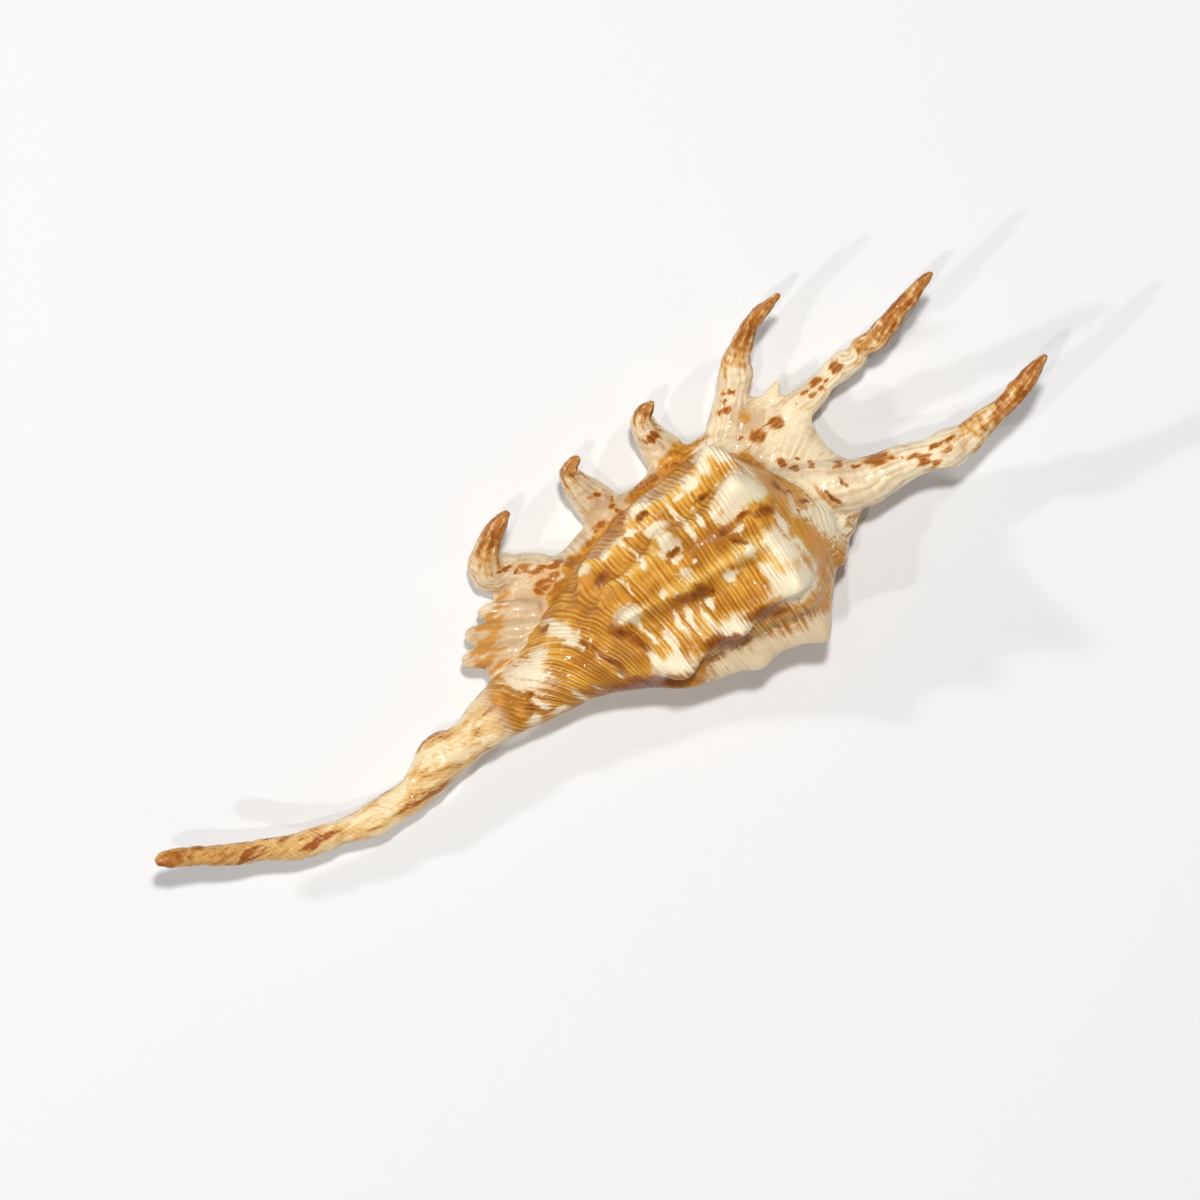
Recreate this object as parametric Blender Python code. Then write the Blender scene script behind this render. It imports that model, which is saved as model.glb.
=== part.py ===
"""Spider conch shell, life size, lying on its aperture with its back up.

One solid, as the animal grew it: a coiled body with its spire, a long front canal, a flared lip
with six fingers, and the hollow of the aperture underneath.

The shell is laid out in millimetres in its own growth frame: X along the coiling axis towards the
spire, +Y towards the lip, Z up from the surface that it lies on. An angle round the axis is zero on
the back, 90 degrees on the lip's side and -90 on the far side, and it rises as the shell grows.
"""

import math

import bmesh
import bpy
import numpy as np

MM = 0.001

# The coiling axis and the growth rule
AXIS_Y = -2.5
AXIS_Z = 13.5
APEX_X = 34.5
TURN_GROWTH = 2.2  # how much bigger each whorl is than the one before it
SHOULDER_TO_APEX = 17.0  # along the axis, a quarter turn before the back
SHOULDER_X = 17.5  # where the shoulder stays for the last half turn
LIP_SHOULDER_X = 15.0  # where it ends, at the lip
LIP_ANGLE = 112.0  # where the last whorl ends and the lip flares away
SPIRE_WHORLS = 4

# The turned profile of a whorl at unit growth: distance in front of the shoulder, and radius
PROFILE = (
    (-9.0, 5.0),
    (-6.5, 8.0),
    (-4.4, 10.8),
    (-2.6, 13.2),
    (-1.2, 15.0),
    (0.4, 15.8),
    (3.0, 15.5),
    (7.5, 14.6),
    (13.5, 14.1),
    (19.0, 13.4),
    (24.0, 12.6),
    (28.5, 11.0),
    (32.0, 9.0),
    (37.0, 6.8),
    (41.5, 5.7),
    (46.0, 5.6),
    (52.0, 5.2),
    (58.0, 4.6),
    (66.0, 3.2),
    (76.0, 1.6),
)
FLANK_SLIMMING = 0.45  # how much slimmer the whorl gets in front, on the lip's side
FLANK_ANGLES = (-60.0, 90.0)
FLANK_PLACES = (9.0, 34.0)

# Knobs on the last whorl: distance in front of the shoulder, angle, height, half length along the
# axis and half width round it
KNOBS = (
    (0.2, -70.0, 1.4, 3.0, 3.8),
    (0.2, -17.0, 4.8, 4.4, 4.8),
    (4.6, 9.0, 1.5, 2.2, 2.6),
    (0.4, 35.0, 4.0, 4.4, 4.6),
    (0.2, 62.0, 3.0, 3.4, 4.0),
    (12.8, -72.0, 1.2, 2.4, 3.2),
    (11.8, -26.0, 2.6, 2.8, 3.6),
    (13.6, 6.0, 1.6, 2.8, 3.4),
    (12.6, 36.0, 2.4, 2.8, 3.8),
    (12.4, 64.0, 1.8, 2.6, 3.0),
    (25.8, -70.0, 1.0, 2.6, 3.0),
    (23.4, -36.0, 3.2, 3.4, 3.8),
    (23.4, 14.0, 1.4, 2.4, 3.0),
    (22.4, 38.0, 1.6, 2.4, 2.6),
    (21.8, 63.0, 2.2, 2.8, 3.2),
)
KNOB_GIRTH = 17.0  # the radius at which the half widths are measured
KNOB_BLUNTNESS = 1.3
SPIRE_KNOB_STEP = 40.0
SPIRE_KNOB_ANGLE = -98.0
SPIRE_KNOB_HEIGHT = 1.9
SPIRE_KNOB_PLACE = 0.6
SPIRE_KNOB_HALF_LENGTH = 1.6

# Callus that thickens the underside: place along the axis, and distance down from the axis
CALLUS = (
    (-62.0, 2.0),
    (-48.0, 3.6),
    (-36.0, 5.6),
    (-28.0, 7.2),
    (-20.0, 9.4),
    (-12.0, 11.6),
    (-5.0, 12.9),
    (3.0, 13.4),
    (12.0, 13.4),
    (17.0, 13.0),
    (21.0, 11.4),
    (25.0, 8.0),
    (30.0, 2.0),
)
CALLUS_REACH = (10.0, 75.0)  # degrees from straight down, over which it halves
CALLUS_SHARPNESS = 1.6  # of the join between the callus and the whorl, per millimetre

# Low folds that run forwards from the shoulder through the knobs: angle at the shoulder and in front
FOLDS = ((-70.0, -70.0), (-17.0, -38.0), (9.0, 14.0), (35.0, 39.0), (62.0, 63.0))
FOLD_HEIGHT = 0.9
FOLD_HALF_WIDTH = 3.4
FOLD_END = 27.0

# Canal and fingers, from root to tip: x, y, z and radius
CANAL = (
    (-24.0, -2.0, 12.6, 5.4),
    (-33.0, -2.2, 12.2, 5.4),
    (-40.0, -2.2, 11.6, 4.8),
    (-45.0, -3.0, 11.0, 4.0),
    (-50.0, -3.7, 10.4, 4.0),
    (-53.8, -3.9, 10.0, 4.8),
    (-58.0, -5.7, 9.6, 4.0),
    (-62.0, -7.0, 9.2, 3.2),
    (-66.0, -7.3, 9.0, 3.3),
    (-70.0, -7.5, 9.0, 3.4),
    (-75.0, -6.7, 9.4, 2.6),
    (-80.0, -5.7, 10.2, 2.75),
    (-85.0, -4.5, 11.4, 2.6),
    (-90.0, -2.1, 13.0, 2.3),
    (-95.5, 0.2, 15.0, 2.2),
    (-101.0, 3.2, 17.2, 2.0),
    (-105.0, 5.0, 19.0, 1.8),
    (-107.6, 5.6, 20.0, 1.1),
)
FINGERS = {
    "front": (
        (-16.0, 11.0, 8.0, 3.0),
        (-21.4, 16.2, 4.6, 3.4),
        (-26.6, 19.0, 3.4, 3.8),
        (-30.0, 21.2, 6.8, 3.6),
        (-28.7, 24.0, 11.0, 2.7),
        (-25.8, 26.2, 14.4, 2.2),
        (-23.2, 27.7, 16.6, 1.7),
        (-21.0, 28.6, 18.2, 0.9),
    ),
    "second": (
        (-4.0, 13.0, 6.5, 3.6),
        (-6.2, 19.6, 3.8, 4.2),
        (-7.4, 24.0, 6.4, 3.6),
        (-8.3, 26.8, 10.0, 2.8),
        (-8.4, 29.0, 13.0, 2.0),
        (-7.0, 30.2, 15.4, 1.4),
        (-5.2, 30.7, 17.0, 0.8),
    ),
    "third": (
        (8.6, 16.0, 6.5, 3.8),
        (8.4, 22.6, 3.8, 4.2),
        (7.8, 26.6, 6.8, 3.3),
        (7.5, 29.6, 10.6, 2.7),
        (8.3, 31.4, 13.4, 2.0),
        (9.8, 32.2, 15.4, 1.4),
        (11.3, 32.5, 16.8, 0.8),
    ),
    "fourth": (
        (15.0, 15.0, 8.0, 4.0),
        (21.2, 22.6, 6.8, 4.0),
        (24.6, 27.0, 8.4, 3.1),
        (26.8, 30.1, 10.4, 3.4),
        (28.4, 32.0, 12.0, 2.6),
        (30.4, 33.8, 14.0, 2.2),
        (33.0, 35.7, 16.4, 1.7),
        (35.4, 36.8, 18.2, 1.7),
        (37.4, 37.2, 19.6, 1.25),
        (40.3, 38.0, 21.4, 0.7),
    ),
    "fifth": (
        (20.0, 12.0, 9.5, 4.6),
        (30.0, 18.0, 9.0, 4.0),
        (36.6, 19.4, 10.0, 2.8),
        (40.2, 20.4, 11.0, 2.3),
        (43.4, 21.2, 12.2, 2.8),
        (46.3, 21.3, 13.2, 2.4),
        (48.4, 22.5, 14.2, 2.0),
        (51.0, 22.3, 15.2, 2.2),
        (54.0, 23.2, 16.6, 2.3),
        (57.0, 24.5, 18.0, 1.9),
        (60.0, 25.5, 19.4, 1.8),
        (63.2, 26.8, 21.0, 1.4),
        (65.9, 27.7, 22.4, 0.7),
    ),
    "hind": (
        (18.0, 8.0, 12.0, 5.6),
        (29.0, 3.6, 14.5, 5.4),
        (37.0, 1.2, 15.0, 4.6),
        (43.0, 0.7, 15.4, 3.8),
        (47.0, 0.1, 16.0, 3.3),
        (50.0, -0.7, 16.8, 3.3),
        (53.6, -1.2, 17.8, 3.9),
        (57.0, -1.1, 18.8, 3.0),
        (60.5, -0.3, 20.0, 2.6),
        (64.5, 0.4, 21.6, 2.1),
        (68.4, 1.7, 23.2, 2.2),
        (71.6, 3.0, 24.8, 1.9),
        (74.2, 4.1, 26.2, 1.3),
        (75.8, 4.6, 27.0, 0.7),
    ),
}
LIMB_SEAM = 0.22  # how deep the closed seam under a finger is, as a share of its radius
LIMB_SEAM_HALF_WIDTH = 0.34  # radians
LIMB_SEAM_START = (0.25, 0.5)  # where the seam sets in, as shares of the finger's length
THINNEST_LIMB = 0.3

# The flared lip, from its front end at the canal to its hind end at the spire: the outer edge and
# the root inside the whorl, as x, y and z of the middle of the wall
LIP_EDGE = (
    (-39.2, 2.6, 9.4),
    (-39.3, 6.2, 8.4),
    (-39.2, 9.0, 7.6),
    (-36.8, 11.6, 6.4),
    (-34.0, 14.2, 5.0),
    (-30.6, 17.2, 4.0),
    (-25.0, 19.2, 3.4),
    (-18.0, 17.6, 3.4),
    (-12.0, 19.2, 3.4),
    (-5.0, 21.0, 3.6),
    (2.0, 21.6, 3.8),
    (8.0, 23.0, 4.0),
    (15.0, 23.0, 5.0),
    (21.0, 24.0, 6.4),
    (27.0, 24.6, 7.6),
    (31.0, 22.4, 8.6),
    (34.6, 19.4, 9.4),
    (34.2, 13.6, 10.4),
    (34.8, 9.0, 12.0),
    (37.6, 4.6, 13.6),
)
LIP_ROOT = (
    (-33.0, 0.0, 10.0),
    (-31.0, 1.0, 9.6),
    (-29.0, 2.4, 9.0),
    (-27.0, 3.8, 8.2),
    (-25.0, 5.4, 7.4),
    (-22.0, 7.4, 6.6),
    (-19.0, 8.6, 5.8),
    (-15.0, 10.0, 5.2),
    (-10.0, 11.0, 5.0),
    (-5.0, 12.0, 5.0),
    (1.0, 12.6, 5.0),
    (6.0, 13.0, 5.4),
    (11.0, 13.0, 6.0),
    (15.0, 12.0, 7.0),
    (18.0, 11.0, 8.4),
    (20.0, 10.0, 9.4),
    (22.0, 8.6, 10.4),
    (23.0, 7.0, 11.6),
    (24.0, 5.0, 12.8),
    (26.0, 2.0, 13.6),
)
LIP_ROOT_WALL = 6.4
LIP_EDGE_WALL = 2.8
LIP_BOW = 0.9
LIP_ROUNDING = (0.8, 1.06)  # where the edge rounds off, as shares of the lip's width
LIP_STATIONS = 140
LIP_ROWS = 14

# Folds and a small spur on the lip, which end as points beyond its edge: x, y, z and radius
LIP_FOLDS = {
    "notch_fold_1": (
        (-29.0, 5.0, 9.6, 1.6),
        (-35.0, 7.4, 9.0, 2.0),
        (-39.2, 8.8, 8.2, 1.9),
        (-42.0, 9.7, 7.8, 0.8),
    ),
    "notch_fold_2": (
        (-28.0, 8.0, 8.4, 1.6),
        (-33.0, 10.4, 7.8, 1.9),
        (-36.8, 12.2, 7.0, 1.7),
        (-38.8, 13.2, 6.6, 0.8),
    ),
    "notch_fold_3": (
        (-26.0, 10.8, 7.4, 1.5),
        (-30.5, 13.2, 6.6, 1.8),
        (-33.4, 14.9, 5.8, 1.4),
        (-34.9, 15.7, 5.4, 0.7),
    ),
    "spur": (
        (24.0, 20.0, 8.4, 1.6),
        (29.0, 22.4, 8.8, 1.5),
        (31.4, 23.7, 9.0, 1.2),
        (32.9, 24.8, 9.3, 0.6),
    ),
}

# The aperture: a hollow that follows the last whorl inside its wall and opens downwards
MOUTH_FRONT_X = -31.0
MOUTH_HIND_X = 15.0
MOUTH_TURN = (  # from the deep end: angle, middle and half height of the hollow, as shares of the radius
    (-12.0, 0.72, 0.03),
    (10.0, 0.73, 0.11),
    (36.0, 0.73, 0.16),
    (62.0, 0.72, 0.17),
    (88.0, 0.71, 0.18),
    (108.0, 0.71, 0.17),
)
MOUTH_SLOT = (  # the slot in the underside: x, y and half width
    (-31.0, 1.0, 1.8),
    (-22.0, 5.4, 3.0),
    (-10.0, 8.6, 3.8),
    (4.0, 10.2, 4.0),
    (15.0, 11.6, 2.8),
)
MOUTH_SLOT_PATH = ((0.8, 4.6, 1.0), (0.0, -1.0, 1.1), (-0.4, -6.0, 1.3))  # shift, z and widening
MOUTH_END_WIDTH = 0.04

# Making
BODY_STEP = 0.55
BODY_TURN_STEP = 1.5
BODY_ENDS = (-60.0, 34.2)
BODY_FADE = (-60.0, -44.0)  # where the body's own front end hides in the canal
AXIS_BEND = (-44.0, -22.0)  # where the body's rings leave the canal's line for the coiling axis
THINNEST_BODY = 0.25
RINGS_PER_LIMB = 90
LIMB_SIDES = 28
MOUTH_RINGS = 70
MOUTH_ROWS = 48
VOXEL = 0.6
JOIN_SMOOTHING = 5
TRIANGLES = 9600
REST_CUT = 0.25  # depth worn flat where the shell touches what it lies on
REST_SLAB = (400.0, 300.0, 40.0)

SHELL_COLOUR = (0.78, 0.55, 0.27, 1.0)
SHELL_ROUGHNESS = 0.32


def smooth_steps(value, low, high):
    """0 below low, 1 above high, and a smooth step between them."""
    share = np.clip((value - low) / (high - low), 0.0, 1.0)
    return share * share * (3.0 - 2.0 * share)


def smooth_rows(rows, count):
    """The rows as a smooth curve through each of them, read at count even steps."""
    rows = np.array(rows, float)
    padded = np.vstack([2 * rows[0] - rows[1], rows, 2 * rows[-1] - rows[-2]])
    place = np.linspace(0.0, len(rows) - 1.0, count)
    start = np.minimum(place.astype(int), len(rows) - 2)
    t = (place - start)[:, None]
    before, here, after, beyond = (padded[start + i] for i in range(4))
    return 0.5 * (
        2 * here
        + (after - before) * t
        + (2 * before - 5 * here + 4 * after - beyond) * t**2
        + (3 * here - before - 3 * after + beyond) * t**3
    )


def closed_loft(name, rings):
    """A closed solid through rings of points. Both ends are closed by strips across the ring."""
    rings = np.asarray(rings, float) * MM
    mesh = bmesh.new()
    loops = [[mesh.verts.new(point) for point in ring] for ring in rings]
    sides = len(loops[0])
    for near, far in zip(loops, loops[1:]):
        for i in range(sides):
            j = (i + 1) % sides
            mesh.faces.new((near[i], near[j], far[j], far[i]))
    for loop in (loops[0], loops[-1]):
        for i in range(sides // 2 - 1):
            mesh.faces.new((loop[i], loop[i + 1], loop[-2 - i], loop[-1 - i]))
    bmesh.ops.recalc_face_normals(mesh, faces=mesh.faces)
    data = bpy.data.meshes.new(name)
    mesh.to_mesh(data)
    mesh.free()
    made = bpy.data.objects.new(name, data)
    bpy.context.scene.collection.objects.link(made)
    return made


def growth(angle):
    """Size of the whorl at an angle, against its size a quarter turn before the back."""
    return TURN_GROWTH ** ((angle + 90.0) / 360.0)


def shoulder_x(angle):
    """Where the shoulder is along the axis. It winds down the spire, and stays for the last turn."""
    spire = APEX_X - SHOULDER_TO_APEX * growth(np.minimum(angle, -90.0))
    return spire - (SHOULDER_X - LIP_SHOULDER_X) * smooth_steps(angle, 20.0, 100.0)


def knob_relief(ahead, angle, size):
    """Height of the knobs on the last whorl, at distances in front of its shoulder."""
    girth = KNOB_GIRTH * size
    relief = np.zeros_like(ahead)
    for knob_ahead, knob_angle, height, half_length, half_width in KNOBS:
        along = (ahead - knob_ahead) * size / half_length
        across = np.radians(angle - knob_angle) * girth / half_width
        relief += height * np.exp(-((along**2 + across**2) ** KNOB_BLUNTNESS))
    return relief


def fold_relief(ahead, angle, size):
    """Height of the folds that join the knobs from the shoulder forwards."""
    girth = KNOB_GIRTH * size
    front = np.clip(ahead / FOLD_END, 0.0, 1.0)
    reach = smooth_steps(ahead, -1.5, 1.0) * (1.0 - smooth_steps(front, 0.75, 1.0))
    relief = np.zeros_like(ahead)
    for shoulder_angle, front_angle in FOLDS:
        middle = shoulder_angle + (front_angle - shoulder_angle) * front
        across = np.radians(angle - middle) * girth / FOLD_HALF_WIDTH
        relief += FOLD_HEIGHT * reach * np.exp(-(across**2))
    return relief


def spire_relief(ahead, angle, size):
    """Height of the row of even knobs on the shoulder of the older whorls."""
    row = np.cos(np.pi * (angle - SPIRE_KNOB_ANGLE) / SPIRE_KNOB_STEP) ** 4
    ridge = np.exp(-0.5 * ((ahead - SPIRE_KNOB_PLACE) / SPIRE_KNOB_HALF_LENGTH) ** 2)
    older = 1.0 - smooth_steps(angle, -190.0, -150.0)
    return older * SPIRE_KNOB_HEIGHT * size * row * ridge


def plain_radius(x, angle):
    """Radius of the whorl that passes this angle, at x along the axis, without its knobs."""
    size = growth(angle)
    ahead = (shoulder_x(angle) - x) / size
    distances, radii = np.transpose(PROFILE)
    flank = smooth_steps(angle, *FLANK_ANGLES) * smooth_steps(ahead, *FLANK_PLACES)
    radius = size * np.interp(ahead, distances, radii) * (1.0 - FLANK_SLIMMING * flank)
    return np.where((ahead > distances[0]) & (ahead < distances[-1]), radius, 0.0)


def whorl_radius(x, angle):
    """The same radius with the knobs and folds."""
    size = growth(angle)
    ahead = (shoulder_x(angle) - x) / size
    relief = sum(shape(ahead, angle, size) for shape in (knob_relief, fold_relief, spire_relief))
    radius = plain_radius(x, angle)
    return np.where(radius > 0.0, radius + relief, 0.0)


def body_radius(x, circle_angle):
    """Outermost whorl at an angle from -180 to 180 round the axis, with the callus under it."""
    last = np.where(circle_angle < LIP_ANGLE, circle_angle, circle_angle - 360.0)
    radius = whorl_radius(x, last)
    for turn in range(1, SPIRE_WHORLS + 1):
        radius = np.maximum(radius, whorl_radius(x, last - 360.0 * turn))
    places, depths = np.transpose(CALLUS)
    from_under = 180.0 - np.abs(circle_angle)
    callus = np.interp(x, places, depths) * (1.0 - 0.5 * smooth_steps(from_under, *CALLUS_REACH))
    return np.logaddexp(radius * CALLUS_SHARPNESS, callus * CALLUS_SHARPNESS) / CALLUS_SHARPNESS


def body():
    """The coiled body and its spire, as rings round the axis. In front they follow the canal."""
    angles = np.arange(-180.0, 180.0, BODY_TURN_STEP)
    turned = np.radians(angles)
    canal = smooth_rows(CANAL, RINGS_PER_LIMB)[::-1]
    rings = []
    for x in np.arange(*BODY_ENDS, BODY_STEP):
        places = np.full_like(angles, x)
        radius = body_radius(places, angles) * smooth_steps(x, *BODY_FADE)
        radius = np.maximum(radius, THINNEST_BODY)
        straight = smooth_steps(x, *AXIS_BEND)
        canal_y, canal_z = (np.interp(x, canal[:, 0], canal[:, i]) for i in (1, 2))
        centre_y = canal_y + straight * (AXIS_Y - canal_y)
        centre_z = canal_z + straight * (AXIS_Z - canal_z)
        y = centre_y + radius * np.sin(turned)
        z = centre_z + radius * np.cos(turned)
        rings.append(np.column_stack([places, y, z]))
    return closed_loft("whorls", rings)


def limb(name, rows):
    """A tapering tube along a smooth line, with a closed seam along its underside."""
    path = smooth_rows(rows, RINGS_PER_LIMB)
    centres, radii = path[:, :3], np.maximum(path[:, 3], THINNEST_LIMB)
    along = np.gradient(centres, axis=0)
    along /= np.linalg.norm(along, axis=1)[:, None]
    turned = np.linspace(0.0, 2.0 * np.pi, LIMB_SIDES, endpoint=False)
    groove = LIMB_SEAM * np.exp(-(((turned - 1.5 * np.pi) / LIMB_SEAM_HALF_WIDTH) ** 2))
    depths = smooth_steps(np.linspace(0.0, 1.0, len(path)), *LIMB_SEAM_START)
    rings = []
    for centre, forward, radius, depth in zip(centres, along, radii, depths):
        reach = radius * (1.0 - depth * groove)
        side = np.cross([0.0, 0.0, 1.0], forward)
        side /= np.linalg.norm(side)
        up = np.cross(forward, side)
        across = np.outer(reach * np.cos(turned), side)
        rings.append(centre + across + np.outer(reach * np.sin(turned), up))
    return closed_loft(name, rings)


def lip():
    """The flared lip: a bowed wall that thins towards its rounded outer edge."""
    edge = smooth_rows(LIP_EDGE, LIP_STATIONS)
    root = smooth_rows(LIP_ROOT, LIP_STATIONS)
    shares = np.linspace(0.0, 1.0, LIP_ROWS)
    wall = LIP_ROOT_WALL + (LIP_EDGE_WALL - LIP_ROOT_WALL) * shares
    half = 0.5 * wall * np.sqrt(1.0 - smooth_steps(shares, *LIP_ROUNDING))
    bow = LIP_BOW * np.sin(np.pi * shares)
    up = np.array([0.0, 0.0, 1.0])
    rings = []
    for outer, inner in zip(edge, root):
        middle = inner + np.outer(shares, outer - inner)
        top = middle + np.outer(half + bow, up)
        under = middle - np.outer(half - 0.4 * bow, up)
        rings.append(np.vstack([top, under[::-1]]))
    return closed_loft("lip", rings)


def mouth_line(x, fullness):
    """The middle line of the hollow at x, from its deep end to the slot: y, z and half height."""
    rows = []
    for angle, share, half in MOUTH_TURN:
        radius = plain_radius(x, angle)
        y = AXIS_Y + share * radius * math.sin(math.radians(angle))
        z = AXIS_Z + share * radius * math.cos(math.radians(angle))
        rows.append((y, z, half * radius * fullness))
    slot_x, slot_y, slot_half = np.transpose(MOUTH_SLOT)
    slot = np.interp(x, slot_x, slot_y)
    half = np.interp(x, slot_x, slot_half) * fullness
    rows += [(slot + shift, z, half * widening) for shift, z, widening in MOUTH_SLOT_PATH]
    return smooth_rows(rows, MOUTH_ROWS)


def mouth_cutter():
    """The hollow of the aperture. It thins out towards both ends of the shell."""
    middle = (MOUTH_HIND_X + MOUTH_FRONT_X) / 2.0
    reach = (MOUTH_HIND_X - MOUTH_FRONT_X) / 2.0
    rings = []
    for x in np.linspace(MOUTH_FRONT_X, MOUTH_HIND_X, MOUTH_RINGS):
        fullness = (1.0 - abs((x - middle) / reach) ** 3) ** 0.5 + MOUTH_END_WIDTH
        line = mouth_line(x, fullness)
        ahead = np.gradient(line[:, :2], axis=0)
        ahead /= np.linalg.norm(ahead, axis=1)[:, None]
        normal = np.column_stack([-ahead[:, 1], ahead[:, 0]])
        outer = line[:, :2] + normal * line[:, 2:]
        inner = line[:, :2] - normal * line[:, 2:]
        outline = np.vstack([outer, inner[::-1]])
        rings.append(np.column_stack([np.full(len(outline), x), outline]))
    cutter = closed_loft("mouth_cutter", rings)
    one_skin(cutter)
    return cutter


def floor_cutter():
    """A slab that wears the lowest spots flat."""
    bpy.ops.mesh.primitive_cube_add(size=1.0)
    made = bpy.context.object
    made.name = "floor_cutter"
    made.scale = [side * MM for side in REST_SLAB]
    made.location = (0.0, 0.0, (REST_CUT - REST_SLAB[2] / 2.0) * MM)
    bpy.ops.object.transform_apply(location=True, rotation=False, scale=True)
    return made


def joined(name, pieces):
    """One object that holds the faces of all the pieces."""
    with bpy.context.temp_override(
        active_object=pieces[0], selected_editable_objects=pieces, selected_objects=pieces
    ):
        bpy.ops.object.join()
    pieces[0].name = name
    pieces[0].data.name = name
    return pieces[0]


def cut(target, cutter):
    """Takes the cutter's shape out of the target."""
    modifier = target.modifiers.new(cutter.name, "BOOLEAN")
    modifier.operation = "DIFFERENCE"
    modifier.object = cutter
    cutter.hide_render = True
    cutter.display_type = "WIRE"


def one_skin(target):
    """Fuses overlapping solids in one skin."""
    skin = target.modifiers.new("one_skin", "REMESH")
    skin.mode = "VOXEL"
    skin.voxel_size = VOXEL * MM


def grown_together(shell):
    """Fuses the pieces of the shell, opens its mouth, and keeps few enough faces."""
    one_skin(shell)
    fillet = shell.modifiers.new("soft_joins", "SMOOTH")
    fillet.factor = 0.5
    fillet.iterations = JOIN_SMOOTHING
    cut(shell, mouth_cutter())
    faces = len(shell.evaluated_get(bpy.context.evaluated_depsgraph_get()).data.polygons)
    fewer = shell.modifiers.new("fewer_faces", "DECIMATE")
    fewer.ratio = TRIANGLES / (2.0 * faces)
    cut(shell, floor_cutter())


def shell_material():
    material = bpy.data.materials.new("shell")
    material.use_nodes = True
    surface = material.node_tree.nodes["Principled BSDF"]
    surface.inputs["Base Color"].default_value = SHELL_COLOUR
    surface.inputs["Roughness"].default_value = SHELL_ROUGHNESS
    return material


def stood_on_its_origin(shell):
    """Moves the shell and its guides so that the origin is under the middle of its box."""
    skin = shell.evaluated_get(bpy.context.evaluated_depsgraph_get())
    places = np.array([vertex.co for vertex in skin.data.vertices])
    low, high = places.min(axis=0), places.max(axis=0)
    for modifier in shell.modifiers:
        if modifier.type == "BOOLEAN":
            modifier.object.parent = shell
    shell.location = (-(low[0] + high[0]) / 2.0, -(low[1] + high[1]) / 2.0, -low[2])


def main():
    for leftover in list(bpy.data.objects):
        bpy.data.objects.remove(leftover)
    pieces = [body(), lip(), limb("canal", CANAL)]
    pieces += [limb(name, rows) for name, rows in FINGERS.items()]
    pieces += [limb(name, rows) for name, rows in LIP_FOLDS.items()]
    shell = joined("shell", pieces)
    shell.data.materials.append(shell_material())
    grown_together(shell)
    shell.data.shade_smooth()
    stood_on_its_origin(shell)


main()
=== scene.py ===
"""Spider conch shell, lying on its aperture with its back up, as a finished part.

The shell is grown in millimetres in its own frame, with X along the coiling axis towards the spire,
+Y towards the lip and Z up. Once grown, it is set down in metres where the CAD shell stands.
"""

import math

import bmesh
import bpy
import numpy as np
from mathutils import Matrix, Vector
from mathutils.noise import noise_vector, seed_set


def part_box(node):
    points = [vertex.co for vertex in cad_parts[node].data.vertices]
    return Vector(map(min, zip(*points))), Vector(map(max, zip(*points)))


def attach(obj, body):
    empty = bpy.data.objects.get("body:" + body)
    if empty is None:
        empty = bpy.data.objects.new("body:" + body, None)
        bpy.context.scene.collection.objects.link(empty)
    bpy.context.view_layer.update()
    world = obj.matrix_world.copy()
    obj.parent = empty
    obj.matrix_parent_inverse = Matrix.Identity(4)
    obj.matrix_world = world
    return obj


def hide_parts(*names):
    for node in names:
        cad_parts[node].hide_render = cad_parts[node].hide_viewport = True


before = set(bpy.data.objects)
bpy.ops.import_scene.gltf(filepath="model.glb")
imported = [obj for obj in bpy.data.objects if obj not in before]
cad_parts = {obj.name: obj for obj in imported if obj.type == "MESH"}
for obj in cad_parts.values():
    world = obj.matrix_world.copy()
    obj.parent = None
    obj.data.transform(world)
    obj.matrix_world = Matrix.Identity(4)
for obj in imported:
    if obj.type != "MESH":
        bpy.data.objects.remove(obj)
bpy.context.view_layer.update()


# ---- The whorls ----
# The coiled body and its spire: one tube of aragonite that grows by the same factor each turn. Its
# wall is worked out by nodes from that rule. Its knobs, folds and callus are listed.

AXIS_Y = -2.5
AXIS_Z = 13.5
APEX_X = 34.5
TURN_GROWTH = 2.2
SHOULDER_TO_APEX = 17.0
LIP_ANGLE = 112.0
LIP_DRIFT = 2.5  # how far the shoulder bends forwards to meet the lip
DRIFT_ANGLES = (20.0, 100.0)
SPIRE_WHORLS = 4
WHORL_PROFILE = (  # at unit growth: distance in front of the shoulder, and radius
    (-9, 5), (-6.5, 8), (-4.4, 10.8), (-2.6, 13.2), (-1.2, 15), (0.4, 15.8), (3, 15.5), (7.5, 14.6),
    (13.5, 14.1), (19, 13.4), (24, 12.6), (28.5, 11), (32, 9), (37, 6.8), (41.5, 5.7), (46, 5.6),
    (52, 5.2), (58, 4.6), (66, 3.2), (76, 1.6),
)
FLANK_SLIMMING = 0.45
FLANK_ANGLES = (-60.0, 90.0)
FLANK_AHEAD = (9.0, 34.0)
CALLUS = (  # on the underside: place along the axis, and distance down from it
    (-62, 2), (-48, 3.6), (-36, 5.6), (-28, 7.2), (-20, 9.4), (-12, 11.6), (-5, 12.9), (3, 13.4),
    (12, 13.4), (17, 13), (21, 11.4), (25, 8), (30, 2),
)
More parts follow.
